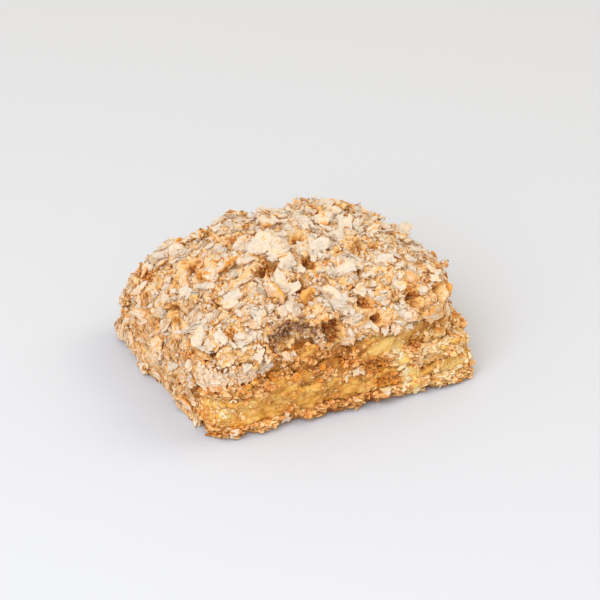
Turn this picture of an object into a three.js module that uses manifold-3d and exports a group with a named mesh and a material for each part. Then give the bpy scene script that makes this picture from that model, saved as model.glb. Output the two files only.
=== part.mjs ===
// A square portion of napoleon cake, as it is served. Two leaves of puff pastry and two fillings of
// custard lie on each other. A deep, domed coat of crumbled pastry covers the top and runs down the
// left side and the back. The front and the right side are cut faces, where the layers show.
//
// Millimetres, +Z up. +X runs along the cut front from left to right and +Y from the front to the
// back. The origin is on the surface that the cake rests on, under the middle of its box.
import * as THREE from "three";
import { mergeVertices } from "three/addons/utils/BufferGeometryUtils.js";
import Module from "manifold-3d";

const wasm = await Module();
wasm.setup();

// Driving dimensions of the whole portion.
const WIDTH = 110;
const DEPTH = 95.5;
const DOME_HEIGHT = 53;
const COAT_THICKNESS = 7;
const GAP = 0.3;

// Heights of the seams between the layers at the middle of the cake, and how far each seam rises or
// falls over half the width, because the layers are pressed unevenly.
const SEAMS = {
  floor: { height: 0, rise: 0, wave: 0 },
  pastry_over_floor: { height: 5.4, rise: 0.8, wave: 0.4 },
  custard_over_base: { height: 13.9, rise: -2.3, wave: 0.7 },
  pastry_in_middle: { height: 19.7, rise: -1.1, wave: 0.7 },
  custard_on_top: { height: 28.4, rise: -0.7, wave: 0.6 },
};
const WAVE_LENGTH = { x: 47, y: 58 };
// The share of their height that the seams lose at the back left corner, where the cake sinks.
const CORNER_SAG = 0.42;

// The stack of layers, inside the coat at the left and the back. At the front left corner the coat
// has come away, and the layers reach round the corner to the side.
const LEFT = -WIDTH / 2 + COAT_THICKNESS;
const BACK = DEPTH / 2 - COAT_THICKNESS;
const FRONT = -DEPTH / 2;
const RIGHT = WIDTH / 2;
const BARE_CORNER = { left: -WIDTH / 2 + 2, back: FRONT + 13, slant: 5, radius: 10 };
const BACK_CHAMFER = 9;
const OUTLINE_POINTS = 66;

// Each layer: its seams, how far its cut faces stand back from the footprint, the radius of its
// front right corner, and the size and reach of the crags on its cut faces.
const LAYERS = [
  {
    name: "base_pastry",
    under: "floor",
    over: "pastry_over_floor",
    setBack: { front: 1.2, right: 2 },
    corner: 6,
    crag: { reach: 1.3, across: 4.2, tall: 2.4 },
    rows: 3,
    flakes: 16,
    finish: { color: 0xd9ac6c, roughness: 0.85 },
  },
  {
    name: "lower_custard",
    under: "pastry_over_floor",
    over: "custard_over_base",
    setBack: { front: 2.2, right: 1.2 },
    corner: 6,
    crag: { reach: 0.9, across: 8.5, tall: 5 },
    rows: 3,
    flakes: 0,
    finish: { color: 0xe8c765, roughness: 0.45 },
  },
  {
    name: "middle_pastry",
    under: "custard_over_base",
    over: "pastry_in_middle",
    setBack: { front: 2.4, right: 1 },
    corner: 6,
    crag: { reach: 1.3, across: 4.2, tall: 2.4 },
    rows: 3,
    flakes: 16,
    finish: { color: 0xcf9f62, roughness: 0.85 },
  },
  {
    name: "upper_custard",
    under: "pastry_in_middle",
    over: "custard_on_top",
    setBack: { front: 4.2, right: 4 },
    corner: 17,
    crag: { reach: 0.9, across: 8.5, tall: 5 },
    rows: 3,
    flakes: 0,
    finish: { color: 0xe9ca6a, roughness: 0.45 },
  },
];

// The coat of crumbs: height of its shoulder above each corner, the place of its highest point, the
// squareness of each corner seen from above, and the roundness of the dome.
const SHOULDER = { frontLeft: 27.5, frontRight: 35, backLeft: 21, backRight: 27 };
const CROWN = { x: -2, y: 2 };
const SQUARENESS = { frontLeft: 8, frontRight: 4.6, backLeft: 9, backRight: 8 };
const DOME = { inward: 1.1, upward: 1.25 };
const SIDE_LEAN = 1.2;
const COAT = { around: 76, sideRows: 4, domeRows: 8, lastRow: 1.82 };
const COAT_BUMPS = [
  { reach: 1.5, across: 15 },
  { reach: 1.3, across: 6.5 },
];
const COAT_FINISH = { color: 0xe6cda4, roughness: 0.9 };

// A crumbled hollow under the overhang of the cut front, above the upper custard.
const HOLLOW = { x: -17, y: -46, z: 33.5, halfWidth: 13, halfDepth: 7, halfHeight: 6 };

// The larger flakes, lying in the coat at all angles.
const COAT_FLAKES = { top: 84, left: 14, back: 14, front: 8 };
const FLAKE = { least: 6.5, most: 10.5, thickness: 1.3, corners: 5, bend: 0.14 };

// Draws the same numbers in the same order each time, each from 0 to 1.
function seededRandom(seed) {
  let state = seed;
  return () => {
    state = (state + 0x6d2b79f5) | 0;
    let mixed = Math.imul(state ^ (state >>> 15), 1 | state);
    mixed = (mixed + Math.imul(mixed ^ (mixed >>> 7), 61 | mixed)) ^ mixed;
    return ((mixed ^ (mixed >>> 14)) >>> 0) / 4294967296;
  };
}

// A value from -1 to 1 at a corner of an endless lattice.
function latticeValue(i, j, k) {
  let mixed = Math.imul(i, 374761393) + Math.imul(j, 668265263) + Math.imul(k, 2147483647);
  mixed = Math.imul(mixed ^ (mixed >>> 13), 1274126177);
  return ((mixed ^ (mixed >>> 16)) >>> 0) / 2147483648 - 1;
}

// Smooth unevenness from -1 to 1, with bumps about as wide as one unit.
function unevenness(x, y, z) {
  const cell = [Math.floor(x), Math.floor(y), Math.floor(z)];
  const [u, v, w] = [x - cell[0], y - cell[1], z - cell[2]].map((t) => t * t * (3 - 2 * t));
  let sum = 0;
  for (const [i, weightX] of [[0, 1 - u], [1, u]])
    for (const [j, weightY] of [[0, 1 - v], [1, v]])
      for (const [k, weightZ] of [[0, 1 - w], [1, w]])
        sum += weightX * weightY * weightZ * latticeValue(cell[0] + i, cell[1] + j, cell[2] + k);
  return sum;
}

// Moves every vertex of a geometry to where a rule puts it.
function reshape(geometry, rule) {
  const position = geometry.getAttribute("position");
  const point = new THREE.Vector3();
  for (let i = 0; i < position.count; i += 1) {
    rule(point.fromBufferAttribute(position, i));
    position.setXYZ(i, point.x, point.y, point.z);
  }
  return geometry;
}

function toSolid(geometry) {
  const bare = geometry.clone();
  bare.deleteAttribute("normal");
  bare.deleteAttribute("uv");
  const merged = mergeVertices(bare, 1e-4);
  return new wasm.Manifold(
    new wasm.Mesh({
      numProp: 3,
      vertProperties: merged.getAttribute("position").array,
      triVerts: new Uint32Array(merged.index.array),
    }),
  );
}

// The largest of the bodies that a cut leaves: loose scraps and sealed hollows go.
function largestBody(solid) {
  return solid.decompose().reduce((a, b) => (b.volume() > a.volume() ? b : a));
}

function toMesh(name, solid, finish) {
  const { vertProperties, triVerts } = solid.getMesh();
  const geometry = new THREE.BufferGeometry()
    .setAttribute("position", new THREE.BufferAttribute(vertProperties, 3))
    .setIndex(new THREE.BufferAttribute(triVerts, 1));
  geometry.computeVertexNormals();
  const mesh = new THREE.Mesh(geometry, new THREE.MeshStandardMaterial({ metalness: 0, ...finish }));
  mesh.name = name;
  return mesh;
}

// Height of a seam above a point of the floor.
function seamHeight(seam, x, y) {
  const { height, rise, wave } = SEAMS[seam];
  const phase = Object.keys(SEAMS).indexOf(seam) * 1.7;
  const wavesX = Math.sin((2 * Math.PI * x) / WAVE_LENGTH.x + phase);
  const wavesY = Math.cos((2 * Math.PI * y) / WAVE_LENGTH.y + 2 * phase);
  const towardsLeft = THREE.MathUtils.smoothstep(-x, 0, WIDTH / 2);
  const towardsBack = THREE.MathUtils.smoothstep(y, 0, DEPTH / 2);
  const sag = 1 - CORNER_SAG * towardsLeft * towardsBack;
  return sag * (height + (rise * x) / (WIDTH / 2) + wave * wavesX * wavesY);
}

// All the space between two heights that vary over the floor, wider than the cake. Every second slab
// is turned by a quarter, so that the triangles of two neighbours match on the seam that they share.
function slab(lower, upper, turned) {
  const side = 130;
  const cells = 11;
  const sheet = new THREE.BoxGeometry(side, side, 1, cells, cells, 1);
  return toSolid(
    reshape(turned ? sheet.rotateZ(Math.PI / 2) : sheet, (p) => {
      p.z = (p.z < 0 ? lower : upper)(p.x, p.y);
    }),
  );
}

// A column over the room that the coat leaves for the stack, open to the front and the right.
function stackRoom(grow, bottom, top) {
  const { left, back, slant } = BARE_CORNER;
  const far = 2 * WIDTH;
  const plan = new THREE.Shape([
    new THREE.Vector2(LEFT + BACK_CHAMFER - grow, BACK + grow),
    new THREE.Vector2(LEFT - grow, BACK - BACK_CHAMFER + grow),
    new THREE.Vector2(LEFT - grow, back + slant + grow),
    new THREE.Vector2(left - grow, back + grow),
    new THREE.Vector2(left - far, back + grow),
    new THREE.Vector2(left - far, -far),
    new THREE.Vector2(far, -far),
    new THREE.Vector2(far, BACK + grow),
  ]);
  const column = new THREE.ExtrudeGeometry(plan, { depth: top - bottom, bevelEnabled: false });
  return toSolid(column.translate(0, 0, bottom));
}

// A flake of puff pastry about its own middle: an irregular plate, bent along its length.
function flakeGeometry(random, size) {
  const corners = [];
  const narrow = 0.55 + 0.4 * random();
  for (let i = 0; i < FLAKE.corners; i += 1) {
    const angle = ((i + 0.5 * (random() - 0.5)) / FLAKE.corners) * 2 * Math.PI;
    const reach = (size / 2) * (0.72 + 0.28 * random());
    corners.push(new THREE.Vector2(reach * Math.cos(angle), narrow * reach * Math.sin(angle)));
  }
  const thickness = FLAKE.thickness * (0.8 + 0.5 * random());
  const plate = new THREE.ExtrudeGeometry(new THREE.Shape(corners), {
    depth: thickness,
    bevelEnabled: false,
  });
  const bend = (FLAKE.bend * (0.4 + random())) / size;
  return reshape(plate.translate(0, 0, -thickness / 2), (p) => {
    p.z += 4 * bend * p.x * p.x;
  });
}

// A flake at a point of a surface, turned about the surface's normal and tilted out of the surface.
function placedFlake(random, point, normal, tilt) {
  const size = FLAKE.least + (FLAKE.most - FLAKE.least) * random() ** 1.5;
  const turn = new THREE.Quaternion().setFromUnitVectors(new THREE.Vector3(0, 0, 1), normal);
  turn.multiply(new THREE.Quaternion().setFromEuler(new THREE.Euler(0, 0, 2 * Math.PI * random())));
  turn.multiply(new THREE.Quaternion().setFromEuler(new THREE.Euler(0, -tilt, 0)));
  const matrix = new THREE.Matrix4().compose(point, turn, new THREE.Vector3(1, 1, 1));
  return toSolid(flakeGeometry(random, size).applyMatrix4(matrix));
}

// The outline of a layer from above: square at the coat, rounded at the front corners.
function layerOutline({ setBack, corner }) {
  const front = FRONT + setBack.front;
  const right = RIGHT - setBack.right;
  const { left, back, slant, radius } = BARE_CORNER;
  const outline = new THREE.Shape();
  outline.moveTo(LEFT, BACK);
  outline.lineTo(LEFT, back + slant);
  outline.lineTo(left, back);
  outline.lineTo(left, front + radius);
  outline.absarc(left + radius, front + radius, radius, Math.PI, 1.5 * Math.PI);
  outline.lineTo(right - corner, front);
  outline.absarc(right - corner, front + corner, corner, -Math.PI / 2, 0);
  outline.lineTo(right, BACK);
  outline.closePath();
  return outline.getSpacedPoints(OUTLINE_POINTS).slice(1);
}

// Where the crags of a layer's cut faces push a point, along the outward normal of the cut.
function pushOut(p, layer) {
  const { setBack, corner, crag } = layer;
  const overRight = Math.max(0, p.x - (RIGHT - setBack.right - corner)) / corner;
  const overFront = Math.max(0, FRONT + setBack.front + corner - p.y) / corner;
  const length = Math.hypot(overRight, overFront);
  if (length < 1e-6) return;
  const at = [p.x / crag.across, p.y / crag.across, p.z / crag.tall];
  const push = (Math.min(1, length) * crag.reach * unevenness(...at)) / length;
  p.x += overRight * push;
  p.y -= overFront * push;
}

// Flakes that lie in a pastry leaf and stick out of its cut faces.
function edgeFlakes(layer, random) {
  const { setBack, flakes, under, over } = layer;
  const front = FRONT + setBack.front;
  const right = RIGHT - setBack.right;
  const frontLength = right - LEFT;
  const wholeLength = frontLength + BACK - front;
  const pieces = [];
  for (let i = 0; i < flakes; i += 1) {
    const along = ((i + 0.25 + 0.5 * random()) / flakes) * wholeLength;
    const onFront = along < frontLength;
    const x = onFront ? LEFT + along : right - 1;
    const y = onFront ? front + 1 : front + along - frontLength;
    const inside = Math.abs(x - right) < layer.corner && Math.abs(y - front) < layer.corner;
    const share = 0.25 + 0.5 * random();
    const z = THREE.MathUtils.lerp(seamHeight(under, x, y), seamHeight(over, x, y), share);
    const point = new THREE.Vector3(x - (inside ? 2 : 0), y + (inside ? 2 : 0), z);
    const lean = new THREE.Vector3(0.5 * (random() - 0.5), 0.5 * (random() - 0.5), 1).normalize();
    pieces.push(placedFlake(random, point, lean, 0));
  }
  return pieces;
}

// One layer of the stack, with craggy cut faces, between its two seams.
function makeLayer(layer, index) {
  const margin = 1.5;
  const { under, over } = layer;
  const bottom = SEAMS[under].height - Math.abs(SEAMS[under].rise) - margin;
  const top = SEAMS[over].height + Math.abs(SEAMS[over].rise) + margin;
  const column = new THREE.ExtrudeGeometry(new THREE.Shape(layerOutline(layer)), {
    depth: top - bottom,
    steps: layer.rows,
    bevelEnabled: false,
  }).translate(0, 0, bottom);
  const craggy = toSolid(reshape(column, (p) => pushOut(p, layer)));
  const whole = wasm.Manifold.union([craggy, ...edgeFlakes(layer, seededRandom(index + 11))]);
  const clearance = under === "floor" ? 0 : GAP / 2;
  const space = slab(
    (x, y) => seamHeight(under, x, y) + clearance,
    (x, y) => seamHeight(over, x, y) - GAP / 2,
    index % 2 === 1,
  );
  const room = stackRoom(0, -1, DOME_HEIGHT);
  return toMesh(layer.name, largestBody(whole.intersect(space).intersect(room)), layer.finish);
}

// The coat's outer surface: the point at an angle around the crown and at a share of the way up,
// from 0 at the foot of the side, through 1 at the shoulder, to 2 at the crown.
function coatPoint(angle, climb) {
  const [c, s] = [Math.cos(angle), Math.sin(angle)];
  const [halfX, halfY] = [WIDTH / 2, DEPTH / 2];
  const [endX, endY] = [c > 0 ? "Right" : "Left", s > 0 ? "back" : "front"];
  const square = SQUARENESS[endY + endX];
  const reach = (Math.abs(c / halfX) ** square + Math.abs(s / halfY) ** square) ** (-1 / square);
  const [shareX, shareY] = [0.5 + (c * reach) / WIDTH, 0.5 + (s * reach) / DEPTH];
  const shoulder = THREE.MathUtils.lerp(
    THREE.MathUtils.lerp(SHOULDER.frontLeft, SHOULDER.frontRight, shareX),
    THREE.MathUtils.lerp(SHOULDER.backLeft, SHOULDER.backRight, shareX),
    shareY,
  );
  const turn = (Math.PI / 2) * Math.max(0, climb - 1);
  const inward = Math.max(0, Math.cos(turn)) ** DOME.inward;
  const lean = SIDE_LEAN * (2 * Math.min(1, climb) - 1) ** 2;
  const height = shoulder * Math.min(1, climb) + (DOME_HEIGHT - shoulder) * Math.sin(turn) ** DOME.upward;
  return new THREE.Vector3(
    CROWN.x + (c * (reach - lean) - CROWN.x) * inward,
    CROWN.y + (s * (reach - lean) - CROWN.y) * inward,
    height,
  );
}

// The outward normal of the coat's surface at the same place.
function coatNormal(angle, climb) {
  const step = 0.02;
  const middle = Math.min(2 - step, Math.max(step, climb));
  const around = coatPoint(angle + step, middle).sub(coatPoint(angle - step, middle));
  const up = coatPoint(angle, middle + step).sub(coatPoint(angle, middle - step));
  return around.cross(up).normalize();
}

// The bare coat: a lathe's profile carries the share of the way up, and each vertex is then moved to
// the coat's surface and out or in by its bumps.
function coatCore() {
  const profile = [new THREE.Vector2(0, 0)];
  for (let i = 0; i <= COAT.sideRows; i += 1)
    profile.push(new THREE.Vector2(1, i / COAT.sideRows));
  for (let i = 1; i < COAT.domeRows; i += 1) {
    const share = i / (COAT.domeRows - 1);
    profile.push(new THREE.Vector2(1 - 0.9 * share, 1 + (COAT.lastRow - 1) * share));
  }
  profile.push(new THREE.Vector2(0, 2));
  const lathe = new THREE.LatheGeometry(profile, COAT.around).rotateX(Math.PI / 2);
  return toSolid(
    reshape(lathe, (p) => {
      const radius = Math.hypot(p.x, p.y);
      const underside = p.z < 1e-6 && radius < 1e-6;
      if (underside) return;
      const angle = Math.atan2(p.y, p.x);
      const climb = p.z;
      const surface = coatPoint(angle, climb);
      const bumps = COAT_BUMPS.reduce(
        (sum, { reach, across }) =>
          sum + reach * unevenness(surface.x / across, surface.y / across, surface.z / across),
        0,
      );
      const normal = climb > 1.98 ? new THREE.Vector3(0, 0, 1) : coatNormal(angle, climb);
      if (climb < 1e-6) normal.setZ(0);
      p.copy(surface).addScaledVector(normal, bumps);
    }),
  );
}

// Flakes all over the coat: turned by the golden angle on the dome, in a row along each side.
function coatFlakes(random) {
  const pieces = [];
  const add = (angle, climb) => {
    const normal = coatNormal(angle, climb);
    const point = coatPoint(angle, climb).addScaledVector(normal, -0.4 + 1.2 * random());
    pieces.push(placedFlake(random, point, normal, 0.15 + 0.5 * random()));
  };
  const goldenAngle = Math.PI * (3 - Math.sqrt(5));
  for (let i = 0; i < COAT_FLAKES.top; i += 1) {
    const outward = Math.sqrt((i + 0.5) / COAT_FLAKES.top);
    add(i * goldenAngle, 1 + (2 / Math.PI) * Math.acos(outward));
  }
  const sides = [
    { count: COAT_FLAKES.left, from: 0.78 * Math.PI, to: 1.22 * Math.PI, low: 0.1 },
    { count: COAT_FLAKES.back, from: 0.27 * Math.PI, to: 0.73 * Math.PI, low: 0.1 },
    { count: COAT_FLAKES.front, from: 1.25 * Math.PI, to: 1.75 * Math.PI, low: 0.95 },
  ];
  for (const { count, from, to, low } of sides)
    for (let i = 0; i < count; i += 1) {
      const climb = low + (1.05 - low) * ((i * 0.618 + 0.2 * random()) % 1);
      add(THREE.MathUtils.lerp(from, to, (i + random()) / count), climb);
    }
  return pieces;
}

function makeCoat(seed) {
  const { x, y, z, halfWidth, halfDepth, halfHeight } = HOLLOW;
  const hollow = new THREE.SphereGeometry(1, 14, 9);
  hollow.scale(halfWidth, halfDepth, halfHeight).translate(x, y, z);
  const stack = slab(
    () => -2,
    (px, py) => seamHeight("custard_on_top", px, py) + GAP / 2,
    LAYERS.length % 2 === 0,
  ).intersect(stackRoom(GAP, -2, DOME_HEIGHT));
  const floor = toSolid(new THREE.BoxGeometry(2 * WIDTH, 2 * DEPTH, 40).translate(0, 0, -20));
  const dome = coatCore().subtract(toSolid(hollow));
  const heap = wasm.Manifold.union([dome, ...coatFlakes(seededRandom(seed))]);
  return toMesh("crumb_coat", largestBody(heap.subtract(stack).subtract(floor)), COAT_FINISH);
}

const cake = new THREE.Group();
cake.add(...LAYERS.map(makeLayer), makeCoat(5));

// The middle of the box goes over the origin.
const middle = new THREE.Box3().setFromObject(cake, true).getCenter(new THREE.Vector3());
cake.position.set(-middle.x, -middle.y, 0);

export default cake;
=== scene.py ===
"""A square portion of napoleon cake: layered pastry and custard under a heaped coat of pastry flakes.

Lengths are in millimetres, unless a name ends in _m, and become metres where a mesh is written.
+X runs along the cut front from left to right, +Y from the cut front to the back, +Z up.
"""

import logging
import math
from dataclasses import dataclass, field
from enum import Enum
from functools import partial
from typing import Protocol, Sequence

import bpy
import numpy as np
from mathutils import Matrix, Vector
from mathutils.bvhtree import BVHTree


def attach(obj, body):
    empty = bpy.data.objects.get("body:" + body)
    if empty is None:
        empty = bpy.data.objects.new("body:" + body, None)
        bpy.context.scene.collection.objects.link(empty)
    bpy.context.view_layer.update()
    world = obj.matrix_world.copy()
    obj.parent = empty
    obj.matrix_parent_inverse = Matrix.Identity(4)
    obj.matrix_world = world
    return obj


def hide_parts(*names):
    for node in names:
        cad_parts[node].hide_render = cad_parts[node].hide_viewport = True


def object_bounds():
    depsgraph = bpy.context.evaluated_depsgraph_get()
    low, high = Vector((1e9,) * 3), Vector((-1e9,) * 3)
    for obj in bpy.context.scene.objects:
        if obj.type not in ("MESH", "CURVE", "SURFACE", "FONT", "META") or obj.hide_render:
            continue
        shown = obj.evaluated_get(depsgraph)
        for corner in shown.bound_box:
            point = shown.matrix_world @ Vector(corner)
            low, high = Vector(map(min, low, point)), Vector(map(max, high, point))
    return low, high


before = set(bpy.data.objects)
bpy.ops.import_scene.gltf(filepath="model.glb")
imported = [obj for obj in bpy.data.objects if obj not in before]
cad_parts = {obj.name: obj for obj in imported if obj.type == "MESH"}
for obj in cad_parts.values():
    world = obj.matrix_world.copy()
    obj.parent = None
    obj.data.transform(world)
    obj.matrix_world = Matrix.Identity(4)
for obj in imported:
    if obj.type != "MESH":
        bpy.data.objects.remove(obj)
cad_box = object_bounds()

LOG = logging.getLogger("napoleon_cake")
MM = 0.001
Colour = tuple[float, float, float]
Rows = np.ndarray


class Baking(Enum):
    """How far a kind of pastry piece is baked."""

    PALE = "pale"
    GOLDEN = "golden"
    TOASTED = "toasted"


class Slot(Enum):
    """The kinds of food that a piece can be finished as."""

    PASTRY = "pastry"
    CUSTARD = "custard"
    CRUMBS = "crumbs"


def srgb(red: int, green: int, blue: int) -> Colour:
    """Turns a colour as a screen shows it into the linear values that a shader takes.

    Args:
        red: Red from 0 to 255.
        green: Green from 0 to 255.
        blue: Blue from 0 to 255.

    Returns:
        The three linear values.
    """
    shares = [value / 255 for value in (red, green, blue)]
    return tuple(s / 12.92 if s <= 0.04045 else ((s + 0.055) / 1.055) ** 2.4 for s in shares)


def soft_step(values: Rows, low: float, high: float) -> Rows:
    """Rises softly from 0 to 1 between two values.

    Args:
        values: The values to judge.
        low: Where the rise starts.
        high: Where the rise ends.

    Returns:
        A share from 0 to 1 for each value.
    """
    share = np.clip((values - low) / (high - low), 0.0, 1.0)
    return share * share * (3.0 - 2.0 * share)


# Odd factors, shifts and a word size that scatter whole numbers into an even spread of values.
CELL_FACTORS = (374761393, 668265263, 1442695041)
SEED_FACTOR = 97531
SCATTERS = ((13, 1274126177), (15, 2246822519))
LAST_SHIFT = 16
WORD = 0xFFFFFFFF


def lattice_value(cell: Rows, seed: int) -> Rows:
    """Gives each cell of a lattice its own value.

    Args:
        cell: Whole numbers of the cells, with the three numbers last.
        seed: Which set of values is read.

    Returns:
        A value from 0 to 1 for each cell.
    """
    mixed = (cell @ np.array(CELL_FACTORS) + seed * SEED_FACTOR) & WORD
    for shift, factor in SCATTERS:
        mixed = ((mixed ^ (mixed >> shift)) * factor) & WORD
    return (mixed ^ (mixed >> LAST_SHIFT)) / WORD


# How far apart the lattices of two seeds lie, in cells.
SEED_SHIFT = 7.3


def unevenness(places: Rows, across: Sequence[float], seed: int) -> Rows:
    """Gives smooth bumps from -1 to 1.

    Args:
        places: Places in millimetres, one row each.
        across: Width of one bump along X, Y and Z.
        seed: Which set of bumps is read.

    Returns:
        One value for each place.
    """
    scaled = places / np.asarray(across) + SEED_SHIFT * seed
    cell = np.floor(scaled).astype(np.int64)
    part = scaled - cell
    part = part * part * (3.0 - 2.0 * part)
    total = np.zeros(len(places))
    for corner in range(8):
        offset = np.array([corner & 1, (corner >> 1) & 1, corner >> 2])
        weight = np.prod(np.where(offset == 1, part, 1.0 - part), axis=1)
        total += weight * (2.0 * lattice_value(cell + offset, seed) - 1.0)
    return total


# The patches in which food is baked more or less, from broad to fine: width, strength and seed.
PATCHES = (
    ((5.0, 5.0, 4.0), 0.55, 77),
    ((2.4, 2.4, 2.4), 0.5, 78),
    ((1.2, 1.2, 1.2), 0.4, 79),
)


def baked_patches(places: Rows) -> Rows:
    """Gives how much more or less each place is baked than what lies round it, from about -1 to 1."""
    return sum(strength * unevenness(places, across, seed) for across, strength, seed in PATCHES)


# The share of its reach up to which a spot counts in full.
SPOT_MIDDLE = 0.35


@dataclass(frozen=True)
class Spot:
    """A round place on the cake, with how far it reaches from its middle."""

    x: float
    y: float
    z: float
    reach: float

    def share(self, places: Rows, margin: float) -> Rows:
        """Gives 1 in the middle of the spot and 0 beyond its reach and a margin."""
        away = np.linalg.norm(places - (self.x, self.y, self.z), axis=1) / (self.reach + margin)
        return 1.0 - soft_step(away, SPOT_MIDDLE, 1.0)


def any_spot(places: Rows, spots: Sequence[Spot], margin: float = 0.0) -> Rows:
    """Gives how much each place belongs to any of the spots.

    Args:
        places: Places in millimetres, one row each.
        spots: The spots.
        margin: How much further than its reach each spot counts.

    Returns:
        A share from 0 to 1 for each place.
    """
    total = np.zeros(len(places))
    for spot in spots:
        total = np.maximum(total, spot.share(places, margin))
    return total


def spots_at(*rows: tuple[float, float, float, float]) -> tuple[Spot, ...]:
    """Makes a spot of each row of its place and its reach."""
    return tuple(Spot(*row) for row in rows)


# The deep hollow under the coat's front rim.
HOLLOW = spots_at(
    (-12, -45, 34.5, 7), (-20, -44, 35.5, 7.5), (-26.5, -44, 34.5, 5), (-4, -45, 34, 5.5),
)

# Where shaded crumbs lie in the hollow and over its upper edge.
HOLLOW_CRUMBS = spots_at(
    (-23.7, -38.4, 39.4, 4.5), (-22.8, -40.7, 35.1, 6), (-27, -42, 33.5, 5), (-15.4, -41.7, 36.5, 5.5),
    (-16.3, -39.4, 32.8, 6), (-12.9, -40.6, 30.5, 5.5), (-9.7, -42.2, 30.5, 6),
)

# Small pits in the coat.
PITS = spots_at(
    (-19.6, -17.4, 49, 4.4), (-15.6, -16.2, 49.8, 4), (-24, 12.1, 47.5, 2.6), (-37.3, 8.5, 41, 3.6),
    (-48.9, -3.3, 34, 3), (-40, -20.1, 40.5, 3.4), (-2, -19.4, 49, 3.4), (-9.1, -27.6, 45.5, 3.6),
    (0, -6.9, 53.4, 3), (18.8, -13.2, 51.4, 2.4), (25.6, -17.5, 50, 2.2), (48.8, -6.6, 38, 2.6),
    (42.1, -39.4, 36.5, 3.4), (30.8, -42.2, 38.2, 3.8), (12, -39.3, 39.2, 3.2), (14.1, -44.8, 35, 2.6),
    (-48.7, -37.6, 32.5, 3), (20, 28, 46, 3.6), (-18, 36, 40, 4), (38, 12, 43, 3.4), (2, 46, 28, 4),
    (-30, 44, 18, 3.2), (30, 47, 20, 3.6),
)

# Where the coat is baked browner.
BROWN_SPOTS = spots_at(
    (49.1, -26, 38.8, 4.6), (-48.1, 25.8, 33.2, 5.4), (-42, 7.8, 37.8, 3.4), (-52.5, -27.6, 29.4, 4.6),
    (30.6, -37.7, 41.9, 3.6), (19.8, 14.9, 50.6, 4.4), (31, 17, 47, 3.4), (31.7, -41.9, 38.8, 4.4),
    (-39.9, -37.1, 38.2, 3.6), (-33.6, 4.9, 43.4, 4), (-20.9, 6.3, 50.2, 3.6),
    (-35.6, -4.2, 44.3, 4.4), (-1.1, -20, 49.3, 3), (-53, -33.5, 18.2, 4), (-53.1, 31.7, 14, 4.4),
    (-14, 40, 38, 5), (22, 45, 26, 4.4),
)

# Where the palest flakes of the coat gather.
PALE_SPOTS = spots_at(
    (-21.7, -19.9, 48.8, 5), (-11, -12.2, 51.2, 7.5), (12.2, -36.4, 42, 4), (3.9, -43.6, 35.7, 3.4),
    (-34, -46.1, 32.5, 4), (-46.7, -37.5, 35.2, 4.2), (-52.9, -28.8, 15.6, 3.6),
    (-15.2, -34.6, 41.9, 5), (-46.1, 8.8, 33.2, 3.4), (-42.8, -11.1, 37, 5.2),
    (-31.2, -33.6, 42.8, 4.4), (-0.8, -10.9, 51.8, 5), (10.8, -24.5, 47.5, 7), (-35.4, -38.4, 39, 4),
    (24, 26, 46, 6), (-6, 44, 33, 5),
)

# Pits in the cut faces.
FRONT_PITS = spots_at(
    (9.6, -45.8, 18.2, 3.2), (12.5, -46.1, 17.2, 4.2), (15.6, -46, 15.6, 3.8), (14.6, -46, 8.8, 2.6),
    (18.4, -45.8, 9.2, 3.4), (21.6, -45.9, 8.2, 3), (29.2, -43.5, 20.6, 1.8), (33, -45.7, 10.4, 2.2),
    (35.6, -45.7, 11.2, 2.4), (-10, -47, 16, 2.2), (-7.5, -43.6, 20.6, 2.2), (-1, -43.8, 20.3, 1.8),
    (-18.5, -44.5, 19.5, 2.4), (-27, -44, 21, 2.4), (4, -44, 24.5, 1.6), (56, 6, 14, 3.4),
    (55.5, 24, 6, 3.2),
)

# Slits along the foot of the base leaf.
BASE_SLITS = spots_at(
    (-19.7, -47.6, 1, 4.2), (-24.5, -47.6, 0.8, 3.4), (-51.5, -36, 1, 3.8), (-51.5, -31, 0.6, 3.4),
    (-38, -47.6, 0.2, 3), (-6, -47.6, 0.2, 3), (10, -47.6, 0.6, 3.4), (18, -47.6, 0.4, 3),
    (34, -47.6, 0.6, 3.4), (56, -20, 0.4, 3),
)

# Where the cut faces are creamy.
CREAMY = spots_at(
    (23, -45.5, 21, 4.6), (24, -46, 15, 4), (27, -46.5, 8.5, 5.4), (48, -44, 12, 6), (38, -44, 18, 5),
    (33, -46, 14.5, 5), (42, -46, 5, 6), (52, -42, 16, 6), (30, -46, 4, 6), (44, -44, 22, 6),
    (-46, -44, 10, 4),
)

# The middle of the cake, towards which pits deepen.
CORE = (0.0, 0.0, 12.0)

# Where the outside is worn back towards the middle, and how far.
WORN = (
    (Spot(-52.0, 34.0, 28.0, 16.0), 3.0),
    (Spot(-42.0, 34.0, 40.0, 16.0), 4.5),
    (Spot(-28.0, 33.0, 46.0, 16.0), 3.5),
    (Spot(44.0, 27.0, 41.0, 18.0), 4.0),
    (Spot(26.0, 20.0, 50.0, 12.0), 2.5),
    (Spot(56.5, -42.0, 19.0, 12.0), 4.0),
    (Spot(54.0, -31.0, 31.0, 12.0), 4.0),
)

# Where clumps of creamy crumbs stand on the cut faces. The reach is a clump's size.
CREAM_CLUMPS = spots_at(
    (22, -44.2, 19.4, 6), (24, -45.2, 16.1, 6.5), (23.4, -44.9, 12.7, 5.5), (25.8, -45.9, 10.1, 7),
    (26.3, -45.9, 6.6, 7), (24.2, -47.6, 4.7, 5.5), (29, -46.5, 3, 6), (16.4, -46.8, 5.4, 6.5),
    (40.6, -46.1, 4.3, 6), (46.3, -45.5, 7.2, 5.5), (39.3, -45.6, 17.1, 5), (33, -46, 17.6, 5),
    (49, -45, 14, 5), (34, -46, 3, 5), (52, -44, 9, 5), (0.5, -45.9, 14.9, 5.5), (4.7, -45.6, 15.4, 5),
)

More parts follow.
